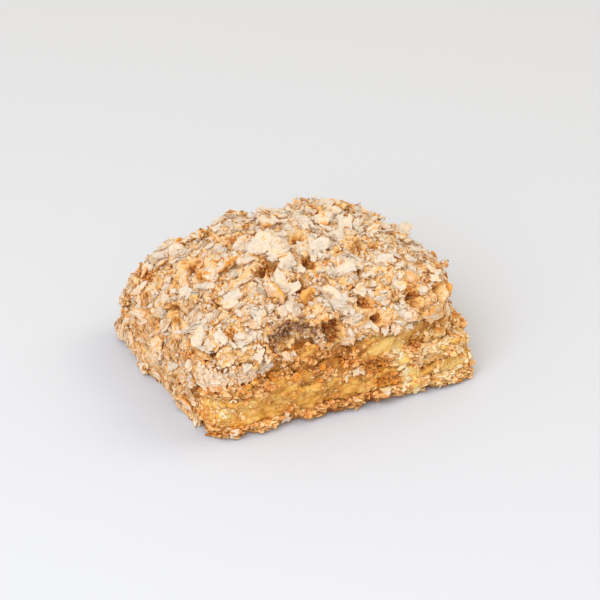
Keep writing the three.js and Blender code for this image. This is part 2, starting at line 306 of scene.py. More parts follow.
# Where the broadest clumps lie on the coat. The reach is a clump's size.
BROAD_CLUMPS = spots_at(
    (-14.8, -6.6, 52.1, 15), (-9.4, -10.6, 51.6, 15), (-11.5, -14.5, 50.6, 10), (-9.5, -18, 49.2, 11),
    (1.2, -14, 50.6, 9), (6.2, -13.6, 51.3, 10), (-5.4, 6.7, 54.3, 12), (1.9, 8.4, 53.1, 12),
    (0.7, -35.3, 42.1, 12), (-8.6, -34, 44.9, 10), (-21.3, -30.7, 46.7, 12), (-13.1, -28.5, 44.9, 10),
    (11.3, -23.5, 48.1, 11), (-37.5, -8.4, 42.7, 11), (-34.9, -24.5, 44, 11), (20.6, -4.5, 52.1, 11),
    (25.4, -27.8, 46.9, 10), (26.7, -37.4, 41.9, 9), (-47.6, 5.4, 31.9, 9),
)

# The crumbled edge of the coat at the front left corner.
LEFT_CORNER = spots_at(
    (-50.5, -36.5, 24, 6), (-48, -41, 24, 6), (-43, -43.5, 24.5, 6), (-37, -44, 25.5, 5),
    (-31, -44, 27, 4),
)

# Where thin strands hang from the layers.
STRANDS = spots_at(
    (-48, -44, 15.5, 5), (-43, -46, 15, 5), (-37, -46, 14, 4), (20, -45, 25, 5),
)

# Where large flakes lie along the coat's rim. The reach is a flake's size.
RIM_FLAKES = spots_at(
    (-34.2, -45.8, 32.8, 7), (3.9, -43.6, 35.7, 6), (12.2, -36.4, 42, 5.5), (-47.9, -35.8, 34.6, 9),
    (-52.9, -30.8, 18, 7), (-49.5, -35, 32.6, 7), (-37.6, -41.4, 36.2, 7), (15.3, -47.4, 30.7, 4.5),
    (20, -47.5, 31.5, 6), (25.7, -47.6, 30, 4),
)

# Where the custard shows smooth, clear of crumbs.
SMOOTH_CUSTARD = spots_at(
    (12.5, -45.5, 22.4, 2.8), (17.5, -45.5, 23.4, 3.4), (-13, -46.5, 8.5, 4), (2, -46.5, 10, 4.4),
    (-30, -46.5, 9, 3.6), (-22, -46.5, 16.6, 3), (-14, -46.5, 15, 3.4), (-5, -46.5, 14, 3),
    (22.6, -45.5, 20.6, 3), (24, -45.5, 15.6, 2.6), (27, -46.5, 9.4, 3.2), (29, -46.5, 5, 2.4),
)

# Where the custard is painted lighter, as painted light where the key light falls on it.
LIT_CUSTARD = spots_at(
    (18, -44, 23, 11), (28, -44, 24, 8), (53, 10, 23, 16), (53, -18, 23, 16), (53, 32, 23, 14),
)

# Where painted shade darkens the upper filling and the crumbs on it, under the coat's rim.
SHADED_CUT = spots_at(
    (-30, -44, 22.5, 7), (-20, -44, 22.5, 7), (-8, -44, 22.5, 8), (2, -44, 20, 6),
)


def towards_core(places: Rows) -> Rows:
    """Gives the direction from each place to the middle of the cake."""
    return unit_rows(np.asarray(CORE) - places)


def worn_back(places: Rows) -> Rows:
    """Gives how far each place is worn back towards the middle of the cake.

    Args:
        places: Places in millimetres, one row each.

    Returns:
        The way that each place moves, in millimetres.
    """
    lost = np.zeros(len(places))
    for spot, depth in WORN:
        lost = np.maximum(lost, depth * spot.share(places, 0.0))
    return towards_core(places) * lost[:, None]


def vertex_places(mesh: bpy.types.Mesh) -> Rows:
    """Reads where a mesh's vertices are.

    Args:
        mesh: The mesh.

    Returns:
        One place in millimetres for each vertex.
    """
    places = np.empty(len(mesh.vertices) * 3)
    mesh.vertices.foreach_get("co", places)
    return places.reshape(-1, 3) / MM


def vertex_normals(mesh: bpy.types.Mesh) -> Rows:
    """Reads which way a mesh's vertices face.

    Args:
        mesh: The mesh.

    Returns:
        One outward normal for each vertex.
    """
    normals = np.empty(len(mesh.vertices) * 3)
    mesh.vertex_normals.foreach_get("vector", normals)
    return normals.reshape(-1, 3)


def triangle_corners(mesh: bpy.types.Mesh) -> Rows:
    """Reads which vertices a mesh's triangles join.

    Args:
        mesh: The mesh.

    Returns:
        Three vertex numbers for each triangle.
    """
    mesh.calc_loop_triangles()
    corners = np.empty(len(mesh.loop_triangles) * 3, dtype=np.int32)
    mesh.loop_triangles.foreach_get("vertices", corners)
    return corners.reshape(-1, 3)


def triangle_areas(corners: Rows) -> Rows:
    """Gives the area of each triangle from the places of its three corners."""
    sides = corners[:, 1:] - corners[:, :1]
    return np.linalg.norm(np.cross(sides[:, 0], sides[:, 1]), axis=1) / 2


def turned(x: float, y: float, turn: float) -> tuple[float, float]:
    """Turns a flat place about the middle by an angle in radians."""
    return x * math.cos(turn) - y * math.sin(turn), x * math.sin(turn) + y * math.cos(turn)


def set_vertex_places(mesh: bpy.types.Mesh, places: Rows) -> None:
    """Writes a mesh's vertices back from millimetres.

    Args:
        mesh: The mesh to change.
        places: One row for each vertex.
    """
    mesh.vertices.foreach_set("co", (places * MM).ravel())
    mesh.update()


def add_point_value(mesh: bpy.types.Mesh, name: str, values: Rows) -> None:
    """Stores one number for each vertex, for a material to read.

    Args:
        mesh: The mesh that carries the numbers.
        name: The attribute's name.
        values: One number for each vertex.
    """
    attribute = mesh.attributes.new(name, "FLOAT", "POINT")
    attribute.data.foreach_set("value", np.clip(values, 0.0, 1.0).astype(np.float32))


def add_own_places(mesh: bpy.types.Mesh, places: Rows) -> None:
    """Stores a place for each vertex, along which the grain of a material runs.

    Args:
        mesh: The mesh that carries the places.
        places: One row for each vertex, in millimetres.
    """
    attribute = mesh.attributes.new("own_place", "FLOAT_VECTOR", "POINT")
    attribute.data.foreach_set("vector", (places * MM).ravel().astype(np.float32))


def unit_rows(rows: Rows) -> Rows:
    """Scales each row to a length of one."""
    return rows / (np.linalg.norm(rows, axis=-1, keepdims=True) + 1e-9)


def box_corners() -> tuple[Rows, Rows]:
    """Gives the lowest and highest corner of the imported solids' box in millimetres."""
    low, high = (np.array(corner) / MM for corner in cad_box)
    return low, high


def select_only(piece: bpy.types.Object) -> None:
    """Selects one object, makes it active and deselects the rest.

    Args:
        piece: The object to select.
    """
    bpy.ops.object.select_all(action="DESELECT")
    piece.select_set(True)
    bpy.context.view_layer.objects.active = piece


def join_all(pieces: Sequence[bpy.types.Object]) -> bpy.types.Object:
    """Joins objects into the first one.

    Args:
        pieces: The objects to join.

    Returns:
        The joined object.
    """
    select_only(pieces[0])
    for piece in pieces[1:]:
        piece.select_set(True)
    if len(pieces) > 1:
        bpy.ops.object.join()
    return bpy.context.view_layer.objects.active


def apply_modifier(piece: bpy.types.Object, kind: str, **values: object) -> None:
    """Adds a modifier to an object and applies it at once.

    Args:
        piece: The object to change.
        kind: The modifier's type.
        values: The modifier's settings.
    """
    select_only(piece)
    modifier = piece.modifiers.new(kind.lower(), kind)
    for name, value in values.items():
        setattr(modifier, name, value)
    bpy.ops.object.modifier_apply(modifier=modifier.name)


# The part of the coarse noise that makes blotches, and how close to its middle the lines keep.
BLOTCH_RANGE = (0.34, 0.66)
LINE_RANGE = (0.0, 0.045)

# The numbers of the colour sockets of a mixing node, which share their names with others.
MIX_FIRST, MIX_SECOND, MIX_RESULT = 6, 7, 2


@dataclass(frozen=True)
class ShaderShelf:
    """The effects that several finishes share, each built once as a node group."""

    grain: bpy.types.NodeTree
    baking: bpy.types.NodeTree

    @staticmethod
    def _group(name: str, inputs: dict[str, str], outputs: dict[str, str]) -> bpy.types.NodeTree:
        """Starts a node group with named inputs and outputs.

        Args:
            name: The group's name.
            inputs: Socket type for each input's name.
            outputs: Socket type for each output's name.

        Returns:
            The group, with its input and output nodes in it.
        """
        tree = bpy.data.node_groups.new(name, "ShaderNodeTree")
        for in_out, sockets in (("INPUT", inputs), ("OUTPUT", outputs)):
            for socket, kind in sockets.items():
                tree.interface.new_socket(name=socket, in_out=in_out, socket_type=kind)
        tree.nodes.new("NodeGroupInput")
        tree.nodes.new("NodeGroupOutput")
        return tree

    @classmethod
    def _grain(cls) -> bpy.types.NodeTree:
        """Builds the blotches, fine lines and crumb of baked or creamy food.

        Returns:
            A group that turns a place into a mask of browner spots and a relief height.
        """
        tree = cls._group(
            "Food Grain",
            {
                "Vector": "NodeSocketVector",
                "Coarse Scale": "NodeSocketFloat",
                "Line Scale": "NodeSocketFloat",
                "Line Share": "NodeSocketFloat",
                "Fine Scale": "NodeSocketFloat",
            },
            {"Mask": "NodeSocketFloat", "Height": "NodeSocketFloat"},
        )
        nodes, links = tree.nodes, tree.links
        entry, leave = nodes["Group Input"], nodes["Group Output"]
        coarse = nodes.new("ShaderNodeTexNoise")
        coarse.inputs["Detail"].default_value = 5.0
        coarse.inputs["Roughness"].default_value = 0.62
        lines = nodes.new("ShaderNodeTexNoise")
        lines.inputs["Detail"].default_value = 2.0
        cells = nodes.new("ShaderNodeTexVoronoi")
        cells.feature = "F1"
        for texture, scale in ((coarse, "Coarse Scale"), (lines, "Line Scale"), (cells, "Fine Scale")):
            links.new(entry.outputs["Vector"], texture.inputs["Vector"])
            links.new(entry.outputs[scale], texture.inputs["Scale"])
        spread = cls._range(tree, coarse.outputs["Fac"], BLOTCH_RANGE, (0.0, 1.0))
        middle = cls._maths(tree, "ABSOLUTE", cls._maths(tree, "SUBTRACT", lines.outputs["Fac"], 0.5))
        ridge = cls._range(tree, middle, LINE_RANGE, (1.0, 0.0))
        line_mask = cls._maths(tree, "MULTIPLY", ridge, entry.outputs["Line Share"])
        mask = cls._maths(tree, "ADD", spread, line_mask)
        grooved = cls._maths(tree, "SUBTRACT", spread, line_mask)
        height = cls._maths(tree, "SUBTRACT", grooved, cells.outputs["Distance"])
        links.new(mask, leave.inputs["Mask"])
        links.new(height, leave.inputs["Height"])
        return tree

    @staticmethod
    def _range(
        tree: bpy.types.NodeTree,
        value: bpy.types.NodeSocket,
        source: Sequence[float],
        target: Sequence[float],
    ) -> bpy.types.NodeSocket:
        """Adds a node that maps one range of values onto another.

        Args:
            tree: The group that the node joins.
            value: The value to map.
            source: Where the range starts and ends.
            target: What its ends become.

        Returns:
            The mapped value.
        """
        node = tree.nodes.new("ShaderNodeMapRange")
        for name, number in zip(("From Min", "From Max", "To Min", "To Max"), (*source, *target)):
            node.inputs[name].default_value = number
        tree.links.new(value, node.inputs["Value"])
        return node.outputs["Result"]

    @staticmethod
    def _maths(
        tree: bpy.types.NodeTree, operation: str, *values: bpy.types.NodeSocket | float
    ) -> bpy.types.NodeSocket:
        """Adds a node that works out one step from sockets or numbers.

        Args:
            tree: The group that the node joins.
            operation: The step.
            values: What goes into it.

        Returns:
            Its result.
        """
        node = tree.nodes.new("ShaderNodeMath")
        node.operation = operation
        for socket, value in zip(node.inputs, values):
            if isinstance(value, float):
                socket.default_value = value
            else:
                tree.links.new(value, socket)
        return node.outputs["Value"]

    @classmethod
    def _baking(cls) -> bpy.types.NodeTree:
        """Builds the change from pale through golden to toasted.

        Returns:
            A group that turns how far a spot is baked into its colour.
        """
        tree = cls._group(
            "Baked Colour",
            {
                "Baked": "NodeSocketFloat",
                "Grain": "NodeSocketFloat",
                "Grain Share": "NodeSocketFloat",
                "Pale": "NodeSocketColor",
                "Golden": "NodeSocketColor",
                "Toasted": "NodeSocketColor",
            },
            {"Color": "NodeSocketColor"},
        )
        nodes, links = tree.nodes, tree.links
        entry, leave = nodes["Group Input"], nodes["Group Output"]
        centred = cls._maths(tree, "SUBTRACT", entry.outputs["Grain"], 0.5)
        share, stored = entry.outputs["Grain Share"], entry.outputs["Baked"]
        baked = cls._maths(tree, "MULTIPLY_ADD", centred, share, stored)
        colour = entry.outputs["Pale"]
        for name, low, high in (("Golden", 0.0, 0.5), ("Toasted", 0.5, 1.0)):
            share = cls._range(tree, baked, (low, high), (0.0, 1.0))
            mix = nodes.new("ShaderNodeMix")
            mix.data_type = "RGBA"
            links.new(share, mix.inputs["Factor"])
            links.new(colour, mix.inputs[MIX_FIRST])
            links.new(entry.outputs[name], mix.inputs[MIX_SECOND])
            colour = mix.outputs[MIX_RESULT]
        links.new(colour, leave.inputs["Color"])
        return tree

    @classmethod
    def build(cls) -> "ShaderShelf":
        """Builds every shared effect once."""
        return cls(grain=cls._grain(), baking=cls._baking())


@dataclass(frozen=True)
class FoodFinish:
    """A baked or creamy surface: three colours, and how its grain looks and feels.

    A value stored at each vertex, named "baked", says how far that spot is baked, from 0 to 1.
    A place stored there, named "own_place", says where it lies in the grain.
    """

    name: str
    pale: Colour
    golden: Colour
    toasted: Colour
    grain_share: float = 0.5
    coarse_scale: float = 600.0
    line_scale: float = 420.0
    line_share: float = 0.6
    fine_scale: float = 1700.0
    roughness: float = 0.8
    relief_m: float = 0.0003
    relief_strength: float = 0.7
    sheen: float = 0.35
    glow: float = 0.0
    glow_spread: Colour = (0.9, 0.5, 0.2)
    glow_reach_m: float = 0.002
    wet: float = 0.0
    wet_roughness: float = 0.25

    def material(self, shelf: ShaderShelf) -> bpy.types.Material:
        """Builds the finish as a material.

        Args:
            shelf: The shared effects.

        Returns:
            The material.
        """
        material = bpy.data.materials.new(self.name)
        material.use_nodes = True
        nodes, links = material.node_tree.nodes, material.node_tree.links
        surface = nodes["Principled BSDF"]
        surface.inputs["Roughness"].default_value = self.roughness
        surface.inputs["Specular IOR Level"].default_value = self.sheen
        surface.inputs["Coat Weight"].default_value = self.wet
        surface.inputs["Coat Roughness"].default_value = self.wet_roughness
        surface.inputs["Subsurface Weight"].default_value = self.glow
        surface.inputs["Subsurface Radius"].default_value = self.glow_spread
        surface.inputs["Subsurface Scale"].default_value = self.glow_reach_m
        place = nodes.new("ShaderNodeAttribute")
        place.attribute_name = "own_place"
        grain = nodes.new("ShaderNodeGroup")
        grain.node_tree = shelf.grain
        grain.inputs["Coarse Scale"].default_value = self.coarse_scale
        grain.inputs["Line Scale"].default_value = self.line_scale
        grain.inputs["Line Share"].default_value = self.line_share
        grain.inputs["Fine Scale"].default_value = self.fine_scale
        baked = nodes.new("ShaderNodeAttribute")
        baked.attribute_name = "baked"
        colour = nodes.new("ShaderNodeGroup")
        colour.node_tree = shelf.baking
        colour.inputs["Grain Share"].default_value = self.grain_share
        for socket, value in (("Pale", self.pale), ("Golden", self.golden), ("Toasted", self.toasted)):
            colour.inputs[socket].default_value = (*value, 1.0)
        bump = nodes.new("ShaderNodeBump")
        bump.inputs["Strength"].default_value = self.relief_strength
        bump.inputs["Distance"].default_value = self.relief_m
        links.new(place.outputs["Vector"], grain.inputs["Vector"])
        links.new(grain.outputs["Mask"], colour.inputs["Grain"])
        links.new(baked.outputs["Fac"], colour.inputs["Baked"])
        links.new(colour.outputs["Color"], surface.inputs["Base Color"])
        links.new(grain.outputs["Height"], bump.inputs["Height"])
        links.new(bump.outputs["Normal"], surface.inputs["Normal"])
        return material


def dress_piece(piece: bpy.types.Object, finish: FoodFinish, shelf: ShaderShelf) -> None:
    """Gives a piece its finish, rides it on the cake and reports it.

    Args:
        piece: The piece.
        finish: Its finish.
        shelf: The shared effects.
    """
    piece.data.materials.append(finish.material(shelf))
    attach(piece, "root")
    LOG.info("%s: %d faces, finished as %s", piece.name, len(piece.data.polygons), finish.name)


FLAKE_FINISHES = {
    Baking.PALE: FoodFinish(
        "pale_flake",
        pale=srgb(215, 207, 199),
        golden=srgb(234, 217, 196),
        toasted=srgb(235, 170, 82),
        grain_share=0.4,
    ),
    Baking.GOLDEN: FoodFinish(
        "golden_flake",
        pale=srgb(226, 213, 191),
        golden=srgb(235, 211, 170),
        toasted=srgb(231, 154, 60),
        grain_share=0.4,
    ),
    Baking.TOASTED: FoodFinish(
        "toasted_flake",
        pale=srgb(230, 164, 90),
        golden=srgb(202, 124, 54),
        toasted=srgb(136, 70, 24),
        grain_share=0.5,
    ),
}
# Its toasted colour is also the painted shade on the floors of the coat's pits and hollow.
COAT_BED_FINISH = FoodFinish(
    "crumb_bed",
    pale=srgb(240, 218, 182),
    golden=srgb(238, 188, 116),
    toasted=srgb(146, 78, 24),
    relief_m=0.0005,
)
CUT_CRUMB_FINISH = FoodFinish(
    "cut_crumb",
    pale=srgb(250, 232, 196),
    golden=srgb(245, 201, 134),
    toasted=srgb(218, 128, 40),
)
# A greyer, darker copy of the crumb colours: painted shade for the crumbs in the hollow under the coat's
# rim.
SHADED_CRUMB_FINISH = FoodFinish(
    "shaded_crumb",
    pale=srgb(232, 214, 194),
    golden=srgb(202, 160, 124),
    toasted=srgb(138, 84, 54),
    grain_share=0.4,
)
CREAMY_FINISH = FoodFinish(
    "creamy_crumb",
    pale=srgb(240, 226, 192),
    golden=srgb(238, 208, 148),
    toasted=srgb(222, 156, 80),
    grain_share=0.35,
    roughness=0.6,
)
# Its toasted colour is also the painted shade in the cut pits and the slits under the crust.
LEAF_FINISH = FoodFinish(
    "pressed_pastry",
    pale=srgb(246, 214, 158),
    golden=srgb(226, 166, 92),
    toasted=srgb(148, 82, 32),
    relief_m=0.0005,
)
SOAKED_CRUMB_FINISH = FoodFinish(
    "soaked_crumb",
    pale=srgb(232, 202, 136),
    golden=srgb(216, 166, 88),
    toasted=srgb(168, 106, 46),
    grain_share=0.4,
    roughness=0.55,
)
CUSTARD_FINISH = FoodFinish(
    "custard",
    pale=srgb(234, 200, 122),
    golden=srgb(219, 161, 70),
    toasted=srgb(156, 94, 28),
    grain_share=0.45,
    coarse_scale=330.0,
    line_share=0.2,
    fine_scale=1100.0,
    roughness=0.5,
    relief_m=0.0003,
    glow=0.25,
    wet=0.06,
)


class Relief(Protocol):
    """One kind of bump on a food surface."""

    reach: float

    def height(self, places: Rows) -> Rows:
        """Gives how far each place is pushed out, from -1 to 1 times the reach."""


@dataclass(frozen=True)
class Swell:
    """Smooth bumps of one size."""

    reach: float
    across: tuple[float, float, float]
    seed: int

    def height(self, places: Rows) -> Rows:
        """Gives the height of the bumps at each place."""
        return self.reach * unevenness(places, self.across, self.seed)


@dataclass(frozen=True)
class Crumble:
    """Crumbs pressed together side by side, each standing a little higher or lower."""

    reach: float
    across: tuple[float, float, float]
    seed: int
    lean: float = 0.55
    nearest_middle: float = 0.1
    middle_spread: float = 0.8
    crease_width: float = 0.5

    def height(self, places: Rows) -> Rows:
        """Gives the height of the crumbs at each place, lowest in the creases between them.

        Args:
            places: Places in millimetres, one row each.

        Returns:
            A height in millimetres for each place.
        """
        scaled = places / np.asarray(self.across)
        cell = np.floor(scaled).astype(np.int64)
        nearest = np.full(len(places), np.inf)
        second = np.full(len(places), np.inf)
        own_height = np.zeros(len(places))
        for step in range(27):
            corner = cell + (step % 3 - 1, step // 3 % 3 - 1, step // 9 - 1)
            strays = [lattice_value(corner, self.seed + axis) for axis in range(3)]
            middle = corner + self.nearest_middle + self.middle_spread * np.stack(strays, axis=1)
            away = np.linalg.norm(scaled - middle, axis=1)
            closer = away < nearest
            second = np.where(closer, nearest, np.minimum(second, away))
            own_height = np.where(closer, lattice_value(corner, self.seed + 3), own_height)
            nearest = np.where(closer, away, nearest)
        crease = soft_step(second - nearest, 0.0, self.crease_width)
        return self.reach * (self.lean * (2.0 * own_height - 1.0) + (1.0 - self.lean) * (2.0 * crease - 1.0))


@dataclass(frozen=True)
class CutFoot:
    """The foot of the cut faces, where the crust curls up in waves off what the cake rests on.

    Each pair of sizes says up to where the foot counts in full and where it ends.
    """

    from_front: tuple[float, float] = (3.0, 11.0)
    from_right: tuple[float, float] = (1.0, 8.0)
    from_below: tuple[float, float] = (0.5, 5.0)
    mean_curl: float = 0.55
    curl_change: float = 0.45
    wave: float = 13.0
    seed: int = 9

    def share(self, places: Rows) -> Rows:
        """Gives how far each place is lifted.

        Args:
            places: Places in millimetres, one row each.

        Returns:
            A share from 0 to 1 for each place.
        """
        low, high = box_corners()
        front = 1.0 - soft_step(places[:, 1] - low[1], *self.from_front)
        right = 1.0 - soft_step(high[0] - places[:, 0], *self.from_right)
        waves = unevenness(places * (1.0, 1.0, 0.0), (self.wave, self.wave, 1.0), self.seed)
        uneven = self.mean_curl + self.curl_change * waves
        return np.maximum(front, right) * uneven * (1.0 - soft_step(places[:, 2], *self.from_below))


@dataclass
class FoodBody:
    """A node of the cake, copied, meshed closely and roughened. It stands for the plain solid.

    The relief is pushed out from a surface that lies sunk in the solid's own. Pits are deepened
    towards the middle of the cake or, where only cut faces have a relief, straight in.
    """

    node: str
    title: str
    slot: Slot
    finish: FoodFinish
    voxel: float
    reliefs: Sequence[Relief]
    sink: float = 0.0
    pits: Sequence[Spot] = ()
    pit_depth: float = 3.0
    pit_slope: float = 0.7
    held_below: tuple[float, float] = (0.1, 2.0)
    cut_faces_only: bool = False
    browning: float = 0.5
    # Spots that are paled: real cream, and painted light on the lit custard.
    cream_and_lit_spots: Sequence[Spot] = ()
    edge_lift: float = 0.0
    foot: CutFoot = CutFoot()
    # Painted shade in the hollows of the relief, stored as more baked.
    hollow_painted_shade: float = 0.45
    patchiness: float = 0.35
    # Painted shade in the pits, the hollow and the slits, stored as more baked.
    pit_painted_shade: float = 0.6
    # How much the cream and the painted light pale a spot.
    cream_and_light_paling: float = 0.6
    # Painted shade where loose pieces lie over the surface, stored as more baked.
    cover_painted_shade: float = 0.3
    grain_stretch: tuple[float, float, float] = (1.0, 1.0, 1.0)
    piece: bpy.types.Object = field(init=False)
    origins: Rows = field(init=False)
    tones: Rows = field(init=False)

    def model(self) -> None:
        """Copies the solid, meshes it closely and gives it its relief."""
        self.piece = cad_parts[self.node].copy()
        self.piece.data = self.piece.data.copy()
        self.piece.parent = None
        for key in list(self.piece.keys()):
            del self.piece[key]
        self.piece.name = self.title
        self.piece.data.materials.clear()
        bpy.context.scene.collection.objects.link(self.piece)
        select_only(self.piece)
        bpy.ops.object.mode_set(mode="EDIT")
        bpy.ops.mesh.select_all(action="SELECT")
        bpy.ops.mesh.remove_doubles(threshold=1e-6)
        bpy.ops.object.mode_set(mode="OBJECT")
        apply_modifier(self.piece, "REMESH", mode="VOXEL", voxel_size=self.voxel * MM, use_smooth_shade=True)
        apply_modifier(self.piece, "SMOOTH", factor=0.5, iterations=2)
        self._roughen()

    def _roughen(self) -> None:
        """Pushes the surface out and in, and stores how baked each spot is, with painted shade in hollows
        and pits.
        """
        mesh = self.piece.data
        places, normals = vertex_places(mesh), vertex_normals(mesh)
        push = sum(relief.height(places) for relief in self.reliefs)
        reach = sum(relief.reach for relief in self.reliefs)
        loose = soft_step(places[:, 2], *self.held_below)
        if self.cut_faces_only:
            loose = loose * (1.0 - np.abs(normals[:, 2]))
        pit = soft_step(any_spot(places, self.pits), 0.0, self.pit_slope)
        inward = -normals if self.cut_faces_only else towards_core(places)
        moved = places + normals * (loose * (push - self.sink))[:, None]
        moved += inward * (self.pit_depth * pit)[:, None] + worn_back(places)
        moved[:, 2] += self.edge_lift * self.foot.share(places)
        set_vertex_places(mesh, np.clip(moved, *box_corners()))
        self.origins = places
        add_own_places(mesh, places * self.grain_stretch)
        # The hollows of the relief get painted shade.
        self.tones = self.browning - self.hollow_painted_shade * push / reach
        self.tones += self.patchiness * baked_patches(places)
        # The pits get painted shade; the creamy spots are paled, and the lit custard gets painted light.
        self.tones += self.pit_painted_shade * pit - self.cream_and_light_paling * any_spot(places, self.cream_and_lit_spots)

    def brown(self, heap: "Heap") -> None:
        """Stores how far each spot is baked, with painted shade where loose pieces lie over it.

        Args:
            heap: All the loose pieces.
        """
        mesh = self.piece.data
        cover = heap.cover(vertex_places(mesh), vertex_normals(mesh))
        add_point_value(mesh, "baked", self.tones + self.cover_painted_shade * cover)

    def dress(self, shelf: ShaderShelf) -> None:
        """Gives the piece its finish and hides the solid that it stands for."""
        dress_piece(self.piece, self.finish, shelf)
        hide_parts(self.node)


# The directions into the cut faces and the left side, and a distance well outside the cake.
INTO_FRONT = Vector((0.0, 1.0, 0.0))
INTO_RIGHT = Vector((-1.0, 0.0, 0.0))
INTO_LEFT = Vector((1.0, 0.0, 0.0))
FAR = 80.0


@dataclass(frozen=True)
class Smear:
    """A lick of custard on a cut face: its middle along and up the face, and its half sizes."""

    along: float
    up: float
    half_length: float
    half_height: float
    slope: float = 0.0


def smears_of(*rows: tuple[float, ...]) -> tuple[Smear, ...]:
    """Makes a smear of each row of its measures, in the order of its fields."""
    return tuple(Smear(*row) for row in rows)


# Licks of custard on the front cut face.
FRONT_SMEARS = smears_of(
    (16, 22.5, 7, 3.4, 8), (22, 24.5, 5, 2.6, 20), (9, 20, 6, 2, 5), (-13, 26.2, 4.6, 3.2, 12),
    (-19.5, 25.4, 4, 2.4, -15), (-5.5, 25.6, 4.4, 2.4, -8), (23.4, 20.6, 2.6, 3, 30),
    (23.8, 15.6, 2.2, 2.8, -20), (27.2, 9.4, 3, 3.4, 25), (29, 5, 2.4, 2), (-42, 20.4, 6, 1.3),
    (-32, 20.4, 5, 1.4, -4), (-24, 19, 5, 1.5, -6), (-15, 18.6, 5, 1.4), (-5, 18.3, 5.5, 1.3),
    (-38, 5.6, 6, 1.4), (-28, 5.2, 5, 1.2), (-22, 13.2, 8, 2), (-6, 13.4, 9, 2.2, 3),
    (6, 12.6, 7, 1.9), (-36, 13.6, 7, 1.8, -4), (-29, 16.2, 6.5, 2.2, -4), (-19, 16.6, 7, 2.6, 3),
    (-9, 17, 7, 2.4, 3), (1, 17.2, 6, 2.2, 5), (-24, 21, 5, 1.3, -3), (-14, 21, 5, 1.5, 3),
    (-4, 20.8, 5, 1.5, 3), (-46, 9, 4, 3.6), (-16, 5.4, 8, 1.5), (4, 5.6, 8, 1.5),
    (38, 13.4, 6, 1.2, 8), (46, 18, 3.5, 1.4, -8),
)

# Licks of custard on the left side, which have run through the coat.
LEFT_SMEARS = smears_of(
    (-8.3, 29.3, 1.8, 2.6), (-30, 11, 4, 2.6), (-36, 7, 3.5, 2.2),
)


